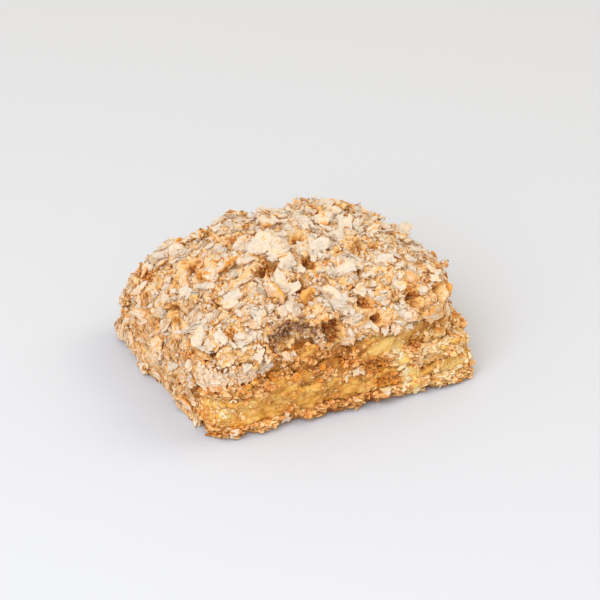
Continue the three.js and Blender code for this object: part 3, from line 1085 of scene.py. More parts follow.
@dataclass
class CustardSmears:
    """Custard dragged over the cut edges of the pastry, in one soft, uneven film."""

    finish: FoodFinish
    front: Sequence[Smear]
    left: Sequence[Smear]
    extra: int = 70
    extra_bands: tuple[tuple[float, float], ...] = ((14.5, 1.6), (5.8, 0.9), (21.0, 1.2))
    extra_on_front: tuple[float, float] = (-50.0, 50.0)
    extra_on_right: tuple[float, float] = (-42.0, 38.0)
    extra_sizes: tuple[float, float] = (1.2, 4.2)
    extra_flatness: tuple[float, float] = (0.25, 0.5)
    extra_slopes: tuple[float, float] = (-20.0, 20.0)
    half_depth: float = 1.1
    embedded: float = 0.15
    ripple: float = 0.3
    ripple_waves: tuple[float, float] = (3.1, 2.3)
    ripple_shift: float = 50.0
    pit_room: float = 3.0
    voxel: float = 0.5
    seed: int = 51
    reliefs: tuple[Swell, ...] = (Swell(0.4, (3.0, 3.0, 1.6), 52), Swell(0.15, (1.0, 1.0, 0.8), 53))
    grain_stretch: tuple[float, float, float] = (0.6, 0.6, 1.2)
    browning: float = 0.5
    # Painted shade in the hollows of the film.
    hollow_painted_shade: float = 0.4
    patchiness: float = 0.5
    # How much the cream and the painted light pale the film.
    cream_and_light_paling: float = 0.6
    # Painted shade under the coat's rim.
    cut_painted_shade: float = 0.45
    title: str = "custard_smears"
    piece: bpy.types.Object = field(init=False)
    origins: Rows = field(init=False)

    def model(self, bodies: Sequence[FoodBody]) -> None:
        """Lays flattened lumps on the cut faces and melts them together.

        Args:
            bodies: The food that the custard is dragged over.
        """
        tree = tree_of(bodies)
        rng = np.random.default_rng(self.seed)
        lumps = [self._lump(tree, smear, INTO_FRONT, rng) for smear in self.front]
        lumps += [self._lump(tree, smear, INTO_LEFT, rng) for smear in self.left]
        for number in range(self.extra):
            on_right = number % 2 == 1
            smear = self._draw_smear(on_right, rng)
            if on_right or not self._meets_pit(smear):
                lumps.append(self._lump(tree, smear, INTO_RIGHT if on_right else INTO_FRONT, rng))
        self.piece = join_all([lump for lump in lumps if lump])
        self.piece.name = self.title
        select_only(self.piece)
        bpy.ops.object.transform_apply(location=True, rotation=True, scale=True)
        apply_modifier(self.piece, "REMESH", mode="VOXEL", voxel_size=self.voxel * MM, use_smooth_shade=True)
        apply_modifier(self.piece, "SMOOTH", factor=0.5, iterations=3)
        self._roughen()

    def _roughen(self) -> None:
        """Pushes the film out and in, and stores how brown each spot is, with painted shade and painted
        light.
        """
        mesh = self.piece.data
        places, normals = vertex_places(mesh), vertex_normals(mesh)
        push = sum(relief.height(places) for relief in self.reliefs)
        set_vertex_places(mesh, np.clip(places + normals * push[:, None], *box_corners()))
        self.origins = places
        add_own_places(mesh, places * self.grain_stretch)
        tint = self.patchiness * baked_patches(places)
        # Cream is paled, and the lit custard gets painted light.
        tint -= self.cream_and_light_paling * any_spot(places, (*CREAMY, *LIT_CUSTARD))
        # Painted shade under the coat's rim.
        tint += self.cut_painted_shade * any_spot(places, SHADED_CUT)
        # The film's hollows get painted shade.
        add_point_value(mesh, "baked", self.browning - self.hollow_painted_shade * push + tint)

    def _draw_smear(self, on_right: bool, rng: np.random.Generator) -> Smear:
        """Draws a small extra smear near the edge of one of the layers.

        Args:
            on_right: Whether it lies on the right cut face, not on the front one.
            rng: The source of random draws.

        Returns:
            The smear.
        """
        along = rng.uniform(*(self.extra_on_right if on_right else self.extra_on_front))
        up = rng.choice([rng.normal(*band) for band in self.extra_bands])
        size = rng.uniform(*self.extra_sizes)
        half_height = size * rng.uniform(*self.extra_flatness)
        return Smear(along, up, size, half_height, rng.uniform(*self.extra_slopes))

    def _meets_pit(self, smear: Smear) -> bool:
        """Tells whether a smear on the front would close one of its pits."""
        gaps = (math.hypot(smear.along - pit.x, smear.up - pit.z) - pit.reach for pit in FRONT_PITS)
        return any(gap < self.pit_room for gap in gaps)

    def _lump(
        self, tree: BVHTree, smear: Smear, inward: Vector, rng: np.random.Generator
    ) -> bpy.types.Object | None:
        """Models one flattened lump where the face lies.

        Args:
            tree: The food's faces, in millimetres.
            smear: Where the lump lies and how large it is.
            inward: The direction into the face.
            rng: The source of random draws.

        Returns:
            The lump, or nothing where there is no face.
        """
        outside = -FAR * inward
        along = Vector((smear.along, 0.0, 0.0)) if inward.y else Vector((0.0, smear.along, 0.0))
        hit = tree.ray_cast(outside + along + Vector((0.0, 0.0, smear.up)), inward)[0]
        if hit is None:
            return None
        bpy.ops.mesh.primitive_ico_sphere_add(subdivisions=3, radius=1.0)
        lump = bpy.context.active_object
        shift = rng.uniform(0.0, self.ripple_shift)
        for vertex in lump.data.vertices:
            x, y, z = vertex.co
            wave = math.sin(self.ripple_waves[0] * x + self.ripple_waves[1] * z + shift)
            height = z * (1.0 + self.ripple * wave) * smear.half_height
            vertex.co = (x * smear.half_length * MM, y * self.half_depth * MM, height * MM)
        lump.rotation_euler = (0.0, math.radians(-smear.slope), 0.0 if inward.y else math.pi / 2)
        lump.location = (hit + self.embedded * inward) * MM
        return lump

    def dress(self, shelf: ShaderShelf) -> None:
        """Gives the smears their finish."""
        dress_piece(self.piece, self.finish, shelf)


def tree_of(bodies: Sequence[FoodBody | CustardSmears]) -> BVHTree:
    """Gathers the faces of some bodies for ray casts.

    Args:
        bodies: The bodies, already modelled.

    Returns:
        A tree of their triangles, in millimetres.
    """
    places, corners = [], []
    offset = 0
    for body in bodies:
        rows = vertex_places(body.piece.data)
        places.append(rows)
        corners.append(triangle_corners(body.piece.data) + offset)
        offset += len(rows)
    return BVHTree.FromPolygons(
        np.concatenate(places).tolist(), np.concatenate(corners).tolist(), all_triangles=True
    )


# The room that a piece always has, next to an avoided spot.
LEAST_ROOM = 0.4


@dataclass(frozen=True)
class Preference:
    """Where pieces of one kind gather.

    They favour some spots, avoid others by a margin, and lie in patches. The ends and the sides of
    the cake have more or fewer of them than its top and middle.
    """

    favoured: Sequence[Spot] = ()
    favour: float = 3.0
    elsewhere: float = 1.0
    avoided: Sequence[Spot] = ()
    margin: float = 0.6
    patches: float = 0.5
    patch_across: float = 7.0
    seed: int = 61
    on_sides: float = 1.0
    far_right: float = 1.0
    far_left: float = 1.0
    right_end: tuple[float, float] = (20.0, 32.0)
    left_end: tuple[float, float] = (-49.0, -43.0)
    contrast: float = 1.8
    fewest: float = 0.04

    def weigh(self, places: Rows, normals: Rows) -> Rows:
        """Gives how much the pieces favour each place.

        Args:
            places: Places in millimetres, one row each.
            normals: The outward normals there.

        Returns:
            A weight from 0 up for each place.
        """
        patch = unevenness(places, (self.patch_across,) * 3, self.seed)
        weight = np.clip(1.0 + self.contrast * self.patches * patch, self.fewest, None)
        weight *= self.elsewhere + self.favour * any_spot(places, self.favoured)
        weight *= 1.0 - 0.99 * soft_step(any_spot(places, self.avoided, self.margin), 0.0, 0.3)
        weight *= 1.0 + (self.on_sides - 1.0) * (1.0 - soft_step(normals[:, 2], 0.1, 0.7))
        weight *= 1.0 + (self.far_right - 1.0) * soft_step(places[:, 0], *self.right_end)
        weight *= 1.0 + (self.far_left - 1.0) * (1.0 - soft_step(places[:, 0], *self.left_end))
        return weight

    def room(self, places: Rows) -> Rows:
        """Gives how far each place lies from the open part of the nearest avoided spot.

        Args:
            places: Places in millimetres, one row each.

        Returns:
            A distance in millimetres for each place.
        """
        room = np.full(len(places), FAR)
        for spot in self.avoided:
            away = np.linalg.norm(places - (spot.x, spot.y, spot.z), axis=1)
            room = np.minimum(room, np.maximum(away - 0.5 * spot.reach, LEAST_ROOM))
        return room


@dataclass
class Bed:
    """The outside of some food bodies, on which loose pieces are strewn.

    Spots are judged from the origins: where the surface lay before its relief was pushed out and in.
    """

    bodies: Sequence[FoodBody | CustardSmears]
    neighbours: Sequence[FoodBody | CustardSmears]
    clearance: float = 5.0
    standoff: float = 0.7
    most_overhung: float = -0.8
    corners: Rows = field(init=False)
    origins: Rows = field(init=False)
    normals: Rows = field(init=False)
    areas: Rows = field(init=False)

    def survey(self) -> None:
        """Finds every triangle that lies open, with no other food just in front of it."""
        tree = tree_of(self.neighbours)
        corners, normals, origins = [], [], []
        for body in self.bodies:
            index = triangle_corners(body.piece.data)
            origins.append(body.origins[index])
            corners.append(vertex_places(body.piece.data)[index])
            normals.append(vertex_normals(body.piece.data)[index])
        all_corners, all_normals = np.concatenate(corners), np.concatenate(normals)
        facing = unit_rows(all_normals.mean(axis=1))
        starts = all_corners.mean(axis=1) + self.standoff * facing
        seen = np.flatnonzero(facing[:, 2] > self.most_overhung)
        free = [self._is_open(tree, Vector(starts[number]), Vector(facing[number])) for number in seen]
        kept = seen[np.array(free)]
        self.corners, self.normals = all_corners[kept], all_normals[kept]
        self.origins = np.concatenate(origins)[kept]
        self.areas = triangle_areas(self.corners)

    def _is_open(self, tree: BVHTree, start: Vector, outward: Vector) -> bool:
        """Tells whether a place lies outside all the food, with nothing just in front of it.

        Args:
            tree: The food's faces.
            start: The place.
            outward: The direction to look in.

        Returns:
            Whether the place is open.
        """
        place, normal, _, away = tree.ray_cast(start, outward)
        return place is None or (away > self.clearance and normal.dot(outward) < 0.0)

    def nearest(self, spots: Sequence[Spot]) -> tuple[Rows, Rows, Rows]:
        """Finds the place on the bed that lies nearest to each spot.

        Args:
            spots: The spots.

        Returns:
            The places, the outward normals there and the origins of the places.
        """
        middles = self.corners.mean(axis=1)
        found = [np.argmin(np.linalg.norm(middles - (spot.x, spot.y, spot.z), axis=1)) for spot in spots]
        return middles[found], unit_rows(self.normals[found].mean(axis=1)), self.origins[found].mean(axis=1)

    def draw(self, count: int, rng: np.random.Generator, preference: Preference) -> tuple[Rows, Rows, Rows]:
        """Draws places spread over the bed.

        Args:
            count: How many places.
            rng: The source of random draws.
            preference: Where the pieces gather.

        Returns:
            The places, the outward normals there and the origins of the places.
        """
        middles = self.origins.mean(axis=1)
        weight = self.areas * preference.weigh(middles, unit_rows(self.normals.mean(axis=1)))
        chosen = rng.choice(len(weight), size=count, p=weight / weight.sum())
        first, second = rng.random((2, count))
        over = first + second > 1.0
        first[over], second[over] = 1.0 - first[over], 1.0 - second[over]
        shares = np.stack([1.0 - first - second, first, second], axis=1)[:, :, None]
        rows = (self.corners, self.normals, self.origins)
        places, normals, origins = ((row[chosen] * shares).sum(axis=1) for row in rows)
        return places, unit_rows(normals), origins


# The painted shade that a shape gets where it faces sideways or down, stored as more baked.
UNDERSIDE_PAINTED_SHADE = 0.7


@dataclass(frozen=True)
class PieceShape:
    """One modelled shape about its own middle, about one unit across, for copying.

    The rim is how much more each vertex is baked than the middle of the shape's upper face. Where
    the vertex faces sideways or down, it also holds painted shade.
    """

    places: Rows
    corners: Rows
    rim: Rows

    @classmethod
    def from_object(cls, master: bpy.types.Object, rim: Rows | None = None) -> "PieceShape":
        """Reads a modelled master and removes its object.

        Args:
            master: The object that was modelled.
            rim: How much more each vertex is baked, if it doesn't follow from how far out it lies.

        Returns:
            The shape.
        """
        mesh = master.data
        places = vertex_places(mesh) * MM
        corners = triangle_corners(mesh)
        if rim is None:
            rim = np.clip(2.0 * np.linalg.norm(places[:, :2], axis=1), 0.0, 1.0)
        # Faces turned sideways or down get painted shade.
        rim = rim + UNDERSIDE_PAINTED_SHADE * (1.0 - vertex_normals(mesh)[:, 2])
        bpy.data.objects.remove(master)
        bpy.data.meshes.remove(mesh)
        return cls(places, corners, rim)


class PieceMaker(Protocol):
    """Models the shapes of one kind of loose piece."""

    def model(self, rng: np.random.Generator) -> PieceShape:
        """Models one shape from random draws."""


@dataclass(frozen=True)
class FlakeMaker:
    """Models small torn, folded flakes of pastry, of one or more thin sheets."""

    corners: int = 5
    thickness: float = 0.08
    sheets: int = 1
    sheet_gap: float = 0.13
    narrowest: float = 0.35
    deepest_tear: float = 0.45
    curl: float = 0.7
    slip: float = 0.1
    most_turn: float = 0.4
    ruffle: float = 0.07

    def _sheet(self, rng: np.random.Generator, level: int, narrow: float) -> bpy.types.Object:
        """Models one torn sheet.

        Args:
            rng: The source of random draws.
            level: Which sheet of the flake it is, counted from below.
            narrow: Its width as a share of its length.

        Returns:
            The sheet, as a closed shape.
        """
        bpy.ops.mesh.primitive_circle_add(vertices=self.corners, radius=0.5, fill_type="NGON")
        sheet = bpy.context.active_object
        curl = rng.uniform(-self.curl, self.curl, size=2)
        shift = rng.uniform(-self.slip, self.slip, size=2) * min(level, 1)
        for vertex in sheet.data.vertices:
            reach = rng.uniform(self.deepest_tear, 1.0)
            x, y = turned(vertex.co.x, vertex.co.y, rng.uniform(-self.most_turn, self.most_turn))
            x, y = x * reach, y * reach * narrow
            lift = curl[0] * x * x + curl[1] * y * y + rng.uniform(-self.ruffle, self.ruffle)
            vertex.co = (x + shift[0], y + shift[1], lift + level * self.sheet_gap)
        apply_modifier(sheet, "SOLIDIFY", thickness=self.thickness, offset=0.0)
        return sheet

    def model(self, rng: np.random.Generator) -> PieceShape:
        """Models one flake.

        Args:
            rng: The source of random draws.

        Returns:
            The flake's shape.
        """
        narrow = rng.uniform(self.narrowest, 1.0)
        sheets = [self._sheet(rng, level, narrow) for level in range(self.sheets)]
        return PieceShape.from_object(join_all(sheets))


@dataclass(frozen=True)
class LargeFlakeMaker:
    """Models the few large flakes: curled, rippled and torn all round."""

    cells: int = 5
    thickness: float = 0.045
    most_curl: float = 0.9
    widths: tuple[float, float] = (0.4, 0.85)
    lobes: tuple[tuple[int, float], ...] = ((3, 0.14), (7, 0.1))
    ripples: tuple[tuple[int, float], ...] = ((13, 0.035), (17, 0.03))
    rim_tear: tuple[float, float] = (0.78, 1.05)
    inner_tear: tuple[float, float] = (0.95, 1.05)
    ruffle: float = 0.012

    def model(self, rng: np.random.Generator) -> PieceShape:
        """Models one flake.

        Args:
            rng: The source of random draws.

        Returns:
            The flake's shape.
        """
        bpy.ops.mesh.primitive_grid_add(x_subdivisions=self.cells, y_subdivisions=self.cells, size=1.0)
        flake = bpy.context.active_object
        phases = rng.uniform(0.0, 2.0 * math.pi, size=4)
        curl = rng.uniform(-self.most_curl, self.most_curl)
        narrow = rng.uniform(*self.widths)
        for vertex in flake.data.vertices:
            x, y = vertex.co.x, vertex.co.y
            edge = 2.0 * max(abs(x), abs(y))
            angle = math.atan2(y, x)
            outline = 1.0 - self.lobes[0][1]
            for (waves, depth), phase in zip(self.lobes, phases[:2]):
                outline += depth * math.sin(waves * angle + phase)
            tear = rng.uniform(*(self.rim_tear if edge > 0.95 else self.inner_tear))
            radius = edge / 2.0 * outline * tear
            x, y = radius * math.cos(angle), radius * math.sin(angle) * narrow
            ripple = 0.0
            for (waves, depth), along, phase in zip(self.ripples, (x, y), phases[2:]):
                ripple += depth * math.sin(waves * along + phase)
            vertex.co = (x, y, curl * x * x + ripple + rng.uniform(-self.ruffle, self.ruffle))
        apply_modifier(flake, "SOLIDIFY", thickness=self.thickness, offset=0.0)
        return PieceShape.from_object(flake)


@dataclass(frozen=True)
class StrandMaker:
    """Models thin, bent strands."""

    cuts: int = 9
    width: float = 0.04
    bend: float = 0.9
    taper: float = 3.6
    browning: float = 0.4

    def model(self, rng: np.random.Generator) -> PieceShape:
        """Models one strand.

        Args:
            rng: The source of random draws.

        Returns:
            The strand's shape.
        """
        bpy.ops.mesh.primitive_grid_add(x_subdivisions=self.cuts, y_subdivisions=1, size=1.0)
        strand = bpy.context.active_object
        bend = rng.uniform(0.3, 1.0) * self.bend
        for vertex in strand.data.vertices:
            x, y = vertex.co.x, vertex.co.y
            taper = self.width * (1.15 - self.taper * x * x)
            vertex.co = (x, y * taper + bend * (x * x - 0.1), rng.uniform(-0.01, 0.01))
        apply_modifier(strand, "SOLIDIFY", thickness=0.7 * self.width, offset=0.0)
        return PieceShape.from_object(strand, np.full(len(strand.data.vertices), self.browning))


@dataclass(frozen=True)
class LayeredMaker:
    """Models broken pieces of several thin leaves, each a little smaller and turned from the one below."""

    corners: int = 10
    leaves: int = 5
    leaf_gap: float = 0.05
    thickness: float = 0.026
    shrinkage: float = 0.13
    widths: tuple[float, float] = (0.45, 0.9)
    outlines: tuple[float, float] = (0.7, 1.0)
    changes: tuple[float, float] = (0.8, 1.12)
    most_lean: float = 0.05
    most_turn: float = 0.3
    droops: tuple[float, float] = (-0.035, 0.03)
    middle_rise: float = 0.02

    def model(self, rng: np.random.Generator) -> PieceShape:
        """Models one piece.

        Args:
            rng: The source of random draws.

        Returns:
            The piece's shape.
        """
        narrow = rng.uniform(*self.widths)
        outline = rng.uniform(*self.outlines, self.corners)
        lean = rng.uniform(-self.most_lean, self.most_lean, 2)
        sheets = []
        for level in range(self.leaves):
            bpy.ops.mesh.primitive_circle_add(vertices=self.corners, radius=0.5, fill_type="TRIFAN")
            sheet = bpy.context.active_object
            shrink = 1.0 - self.shrinkage * level * rng.uniform(0.7, 1.4)
            outline = np.clip(outline * rng.uniform(*self.changes, self.corners), 0.45, 1.05)
            turn = rng.uniform(-self.most_turn, self.most_turn)
            for number, vertex in enumerate(sheet.data.vertices):
                out = vertex.co.length > 0.1
                reach = shrink * (outline[number % self.corners] if out else 1.0)
                x, y = turned(vertex.co.x, vertex.co.y, turn)
                height = self.leaf_gap * level + (rng.uniform(*self.droops) if out else self.middle_rise)
                vertex.co = (x * reach + lean[0] * level, y * reach * narrow + lean[1] * level, height)
            apply_modifier(sheet, "SOLIDIFY", thickness=self.thickness, offset=0.0)
            sheets.append(sheet)
        return PieceShape.from_object(join_all(sheets))


@dataclass(frozen=True)
class ClumpMaker:
    """Models clumps of splinters that hold together, side by side, with creases between them."""

    splinters: int = 36
    voxel: float = 0.07
    least_half_sizes: tuple[float, float, float] = (0.09, 0.04, 0.035)
    most_half_sizes: tuple[float, float, float] = (0.24, 0.09, 0.07)
    widths: tuple[float, float] = (0.55, 0.95)
    heights: tuple[float, float] = (-0.06, 0.08)
    spread: float = 0.36
    straying: float = 0.3
    tipping: float = 0.2
    # The depth over which the painted shade of a crease grows by one.
    crease: float = 0.02
    jitter: float = 0.012
    rim_browning: float = 0.5

    def model(self, rng: np.random.Generator) -> PieceShape:
        """Models one clump.

        Args:
            rng: The source of random draws.

        Returns:
            The clump's shape, with painted shade in its creases, and browner at its rim.
        """
        narrow = rng.uniform(*self.widths)
        splinters = [self._splinter(rng, narrow) for _ in range(self.splinters)]
        clump = join_all(splinters)
        select_only(clump)
        bpy.ops.object.transform_apply(location=True, rotation=True, scale=True)
        apply_modifier(clump, "REMESH", mode="VOXEL", voxel_size=self.voxel)
        mesh = clump.data
        places, normals = vertex_places(mesh), vertex_normals(mesh)
        apply_modifier(clump, "SMOOTH", factor=1.0, iterations=6)
        depth = ((vertex_places(clump.data) - places) * MM * normals).sum(axis=1)
        places += normals * rng.uniform(-self.jitter, self.jitter, len(places))[:, None] / MM
        set_vertex_places(clump.data, places)
        out = np.linalg.norm(places[:, :2] * MM, axis=1)
        # Painted shade in the creases, where the smoothed surface lies out beyond the clump's own.
        creases = np.clip(0.5 + depth / self.crease, 0.0, 1.6)
        return PieceShape.from_object(clump, creases + self.rim_browning * (2.0 * out) ** 3)

    def _splinter(self, rng: np.random.Generator, narrow: float) -> bpy.types.Object:
        """Models one rounded splinter where it lies in the clump.

        Args:
            rng: The source of random draws.
            narrow: The clump's width as a share of its length.

        Returns:
            The splinter.
        """
        bpy.ops.mesh.primitive_ico_sphere_add(subdivisions=2, radius=1.0)
        splinter = bpy.context.active_object
        angle = rng.uniform(0.0, 2.0 * math.pi)
        out = self.spread * math.sqrt(rng.random())
        splinter.scale = rng.uniform(self.least_half_sizes, self.most_half_sizes)
        splinter.rotation_euler = rng.normal(0.0, (self.tipping, self.tipping, self.straying))
        height = rng.uniform(*self.heights)
        splinter.location = (out * math.cos(angle), out * math.sin(angle) * narrow, height)
        return splinter


@dataclass(frozen=True)
class CrumbMaker:
    """Models small broken crumbs."""

    cube: float = 0.8
    jitter: float = 0.2
    widths: tuple[float, float] = (0.5, 1.0)
    heights: tuple[float, float] = (0.45, 0.9)

    def model(self, rng: np.random.Generator) -> PieceShape:
        """Models one crumb.

        Args:
            rng: The source of random draws.

        Returns:
            The crumb's shape.
        """
        bpy.ops.mesh.primitive_cube_add(size=self.cube)
        crumb = bpy.context.active_object
        squash = (1.0, rng.uniform(*self.widths), rng.uniform(*self.heights))
        for vertex in crumb.data.vertices:
            vertex.co = [c * s + rng.uniform(-self.jitter, self.jitter) for c, s in zip(vertex.co, squash)]
        return PieceShape.from_object(crumb)


@dataclass
class Heap:
    """How deep each place lies among the loose pastry round it, for painted shade on what lies deep."""

    strewings: Sequence["Strewing"]
    cell: float = 0.7
    full: float = 0.9
    looks: int = 6
    rise: float = 0.55
    reaches: tuple[float, ...] = (1.0, 1.8)
    shallow: float = 0.08
    deep: float = 0.55
    askew: tuple[float, float, float] = (0.31, 0.87, 0.38)
    filled: Rows = field(init=False)

    def gather(self) -> None:
        """Adds up the faces of all the pieces in each cell of a lattice."""
        low, high = box_corners()
        counts = np.ceil((high - low) / self.cell).astype(int) + 1
        total = np.zeros(counts.prod())
        for strewing in self.strewings:
            mesh = strewing.piece.data
            corners = vertex_places(mesh)[triangle_corners(mesh)]
            cells = np.ravel_multi_index(self._cells(corners.mean(axis=1), counts), counts)
            total += np.bincount(cells, triangle_areas(corners), len(total))
        self.filled = np.minimum(total.reshape(counts) / self.full, 1.0)

    def _cells(self, places: Rows, counts: Rows) -> tuple[Rows, ...]:
        """Finds the lattice cell of each place."""
        cells = np.floor((places - box_corners()[0]) / self.cell).astype(int)
        return tuple(np.clip(cells, 0, counts - 1).T)

    def cover(self, places: Rows, outward: Rows) -> Rows:
        """Gives how deep each place lies, from the pieces that stand round it and over it.

        Args:
            places: Places in millimetres, one row each.
            outward: The direction out of the cake at each place.

        Returns:
            A share from 0 to 1 for each place.
        """
        counts = np.array(self.filled.shape)
        along = unit_rows(np.cross(outward, self.askew))
        across = np.cross(outward, along)
        turns = np.arange(self.looks) * 2.0 * math.pi / self.looks
        aside = [math.cos(turn) * along + math.sin(turn) * across for turn in turns]
        slanted = [self.rise * outward + math.sqrt(1.0 - self.rise**2) * way for way in aside]
        looked_at = [places + reach * way for way in (*slanted, outward) for reach in self.reaches]
        seen = [self.filled[self._cells(spots, counts)] for spots in looked_at]
        return soft_step(sum(seen) / len(seen), self.shallow, self.deep)


@dataclass(frozen=True)
class Layout:
    """How the copies of one kind lie, with one row for each copy.

    The outward directions are those of the bed below, and the turns are matrices.
    """

    places: Rows
    outward: Rows
    turns: Rows
    sizes: Rows
    tones: Rows
    patchiness: Rows
    shape_numbers: Rows
    grain_starts: Rows


# The upward share of a bed's normal up to which the bed is steep, and from which it is flat.
STEEP_RANGE = (0.2, 0.8)

# How far a face looks out of the cake, from where it counts as facing inward and gets full painted shade to
# where it gets none.
INWARD_SHADE_RANGE = (-0.5, 0.7)


@dataclass
class Strewing:
    """Loose pieces of one kind, strewn over a bed and joined as one piece.

    Sizes and lifts off the bed are in millimetres and tilts in degrees, each from least to most.
    Flat-lying pieces lie level, whatever their bed. The first pieces lie at given spots, whose
    reach is their size. How far a piece is baked starts from its browning and changes with the
    steepness of the bed, the spots near it, what covers it, which way its faces turn and its own rim.
    The steepness gives the sides a more golden tone of their own and painted shade; what covers a
    piece, its inward faces and the downward faces of its rim add painted shade.
    """

    title: str
    maker: PieceMaker
    finish: FoodFinish
    slot: Slot
    count: int
    sizes: tuple[float, float]
    tilts: tuple[float, float]
    lifts: tuple[float, float]
    seed: int
    preference: Preference = Preference()
    smallness: float = 1.8
    shapes: int = 10
    flat_lying: bool = False
    at: Sequence[Spot] = ()
    browning: float = 0.2
    # How much more golden pieces on steep beds are: their own tone and painted shade.
    side_tone_and_shade: float = 0.4
    tone_spread: float = 0.06
    patchiness: float = 0.4
    rim_browning: float = 0.3
    mean_rim: float = 0.6
    cover_painted_shade: float = 0.28
    # Painted shade on faces that turn into the cake, away from the light.
    inward_painted_shade: float = 0.28
    # Spots that brown the pieces near them: real brown spots, and on the cut faces painted shade.
    browned_near: Sequence[Spot] = (*PITS, *BROWN_SPOTS)
    near_browning_and_shade: float = 0.35
    browned_margin: float = 1.5
    paled_near: Sequence[Spot] = CREAMY
    near_paling: float = 0.4
    paled_margin: float = 2.0
    steep_calm: float = 0.6
    steep_evenness: float = 0.75
    grain_stretch: tuple[float, float, float] = (0.3, 1.6, 2.5)
    grain_reach: float = 500.0
    piece: bpy.types.Object = field(init=False)
    tones: Rows = field(init=False)
    outward: Rows = field(init=False)

    def strew(self, bed: Bed) -> None:
        """Models the shapes and strews their copies.

        Args:
            bed: The surface that they lie on.
        """
        rng = np.random.default_rng(self.seed)
        shapes = [self.maker.model(rng) for _ in range(self.shapes)]
        self._copy(shapes, self._lay_out(bed, rng))

    def _lay_out(self, bed: Bed, rng: np.random.Generator) -> Layout:
        """Draws how every copy lies.

        Args:
            bed: The surface that they lie on.
            rng: The source of random draws.

        Returns:
            The layout.
        """
        places, normals, origins = bed.draw(self.count, rng, self.preference)
        sizes = self.sizes[0] + (self.sizes[1] - self.sizes[0]) * rng.random(self.count) ** self.smallness
        sizes = np.minimum(sizes, 2.0 * self.preference.room(origins))
        if self.at:
            given = len(self.at)
            places[:given], normals[:given], origins[:given] = bed.nearest(self.at)
            sizes[:given] = [spot.reach for spot in self.at]
        steep = 1.0 - soft_step(normals[:, 2], *STEEP_RANGE)
        calm = 1.0 - self.steep_calm * steep
        lifts = rng.uniform(*self.lifts, self.count)
        away = unit_rows(normals * (1.0, 1.0, 0.0)) if self.flat_lying else normals
        upward = np.tile([0.0, 0.0, 1.0], (self.count, 1)) if self.flat_lying else normals
        tilts = np.radians(rng.uniform(*self.tilts, self.count)) * calm
        turns = self._turns(upward, tilts, rng)
        spread = self.tone_spread * calm
        # Pieces on steep beds are more golden: partly their own tone, partly painted shade for the sides
        # turned from the key light.
        tones = self.browning + spread * rng.normal(size=self.count) + self.side_tone_and_shade * steep
        browned = self.near_browning_and_shade * any_spot(origins, self.browned_near, self.browned_margin)
        paled = self.near_paling * any_spot(origins, self.paled_near, self.paled_margin)
        return Layout(
            places=places + away * lifts[:, None],
            outward=normals,
            turns=turns,
            sizes=sizes,
            tones=tones + (browned - paled),
            patchiness=self.patchiness * (1.0 - self.steep_evenness * steep),
            shape_numbers=rng.integers(self.shapes, size=self.count),
            grain_starts=rng.uniform(-self.grain_reach, self.grain_reach, (self.count, 1, 3)),
        )

    def _copy(self, shapes: Sequence[PieceShape], layout: Layout) -> None:
        """Copies the shapes to where they lie, as one mesh.

        Args:
            shapes: The modelled shapes.
            layout: How each copy lies.
        """
        vertices, corners, baked, outward, own = [], [], [], [], []
        offset = 0
        for number, shape in enumerate(shapes):
            mine = np.flatnonzero(layout.shape_numbers == number)
            sizes = layout.sizes[mine][:, None, None]
            turned_places = np.einsum("nij,vj->nvi", layout.turns[mine], shape.places) * sizes
            lain = self._inside(layout.places[mine][:, None] + turned_places).reshape(-1, 3)
            vertices.append(lain)
            starts = offset + np.arange(len(mine)) * len(shape.places)
            corners.append((shape.corners[None] + starts[:, None, None]).reshape(-1, 3))
            patches = np.repeat(layout.patchiness[mine], len(shape.places)) * baked_patches(lain)
            # The shape's rim carries the painted shade of its sideways and downward faces.
            rim = self.rim_browning * (shape.rim[None] - self.mean_rim)
            baked.append((layout.tones[mine][:, None] + rim).ravel() + patches)
            outward.append(np.repeat(layout.outward[mine], len(shape.places), axis=0))
            stretched = shape.places[None] * sizes * self.grain_stretch
            own.append((stretched + layout.grain_starts[mine]).reshape(-1, 3))
            offset += len(lain)
        mesh = bpy.data.meshes.new(self.title)
        mesh.from_pydata((np.concatenate(vertices) * MM).tolist(), [], np.concatenate(corners).tolist())
        mesh.update()
        add_own_places(mesh, np.concatenate(own))
        self.tones, self.outward = np.concatenate(baked), np.concatenate(outward)
        self.piece = bpy.data.objects.new(self.title, mesh)
        bpy.context.scene.collection.objects.link(self.piece)

    def brown(self, heap: Heap) -> None:
        """Stores how far each spot is baked, with painted shade where pieces lie over it or faces turn in.

        Args:
            heap: All the loose pieces.
        """
        mesh = self.piece.data
        cover = heap.cover(vertex_places(mesh), self.outward)
        facing = (vertex_normals(mesh) * self.outward).sum(axis=1)
        # Faces turned into the cake get painted shade.
        inward = self.inward_painted_shade * (1.0 - soft_step(facing, *INWARD_SHADE_RANGE))
        flat = soft_step(self.outward[:, 2], *STEEP_RANGE)
        # Painted shade where other pieces stand round and over a spot, weaker on steep beds.
        cover_shade = self.cover_painted_shade * cover * (0.5 + 0.5 * flat)
        add_point_value(mesh, "baked", self.tones + cover_shade + inward)

    @staticmethod
    def _turns(normals: Rows, tilts: Rows, rng: np.random.Generator) -> Rows:
        """Draws how each piece is turned.

        Args:
            normals: The outward normal under each piece.
            tilts: How far each piece is tilted off its bed, in radians.
            rng: The source of random draws.

        Returns:
            One turning matrix for each piece.
        """
        along = unit_rows(np.cross(normals, rng.normal(size=normals.shape)))
        across = np.cross(normals, along)
        turn = rng.uniform(0.0, 2.0 * math.pi, len(normals))[:, None]
        cosine, sine = np.cos(tilts)[:, None], np.sin(tilts)[:, None]
        raised = across * cosine + normals * sine
        upward = normals * cosine - across * sine
        length = along * np.cos(turn) + raised * np.sin(turn)
        return np.stack([length, np.cross(upward, length), upward], axis=2)

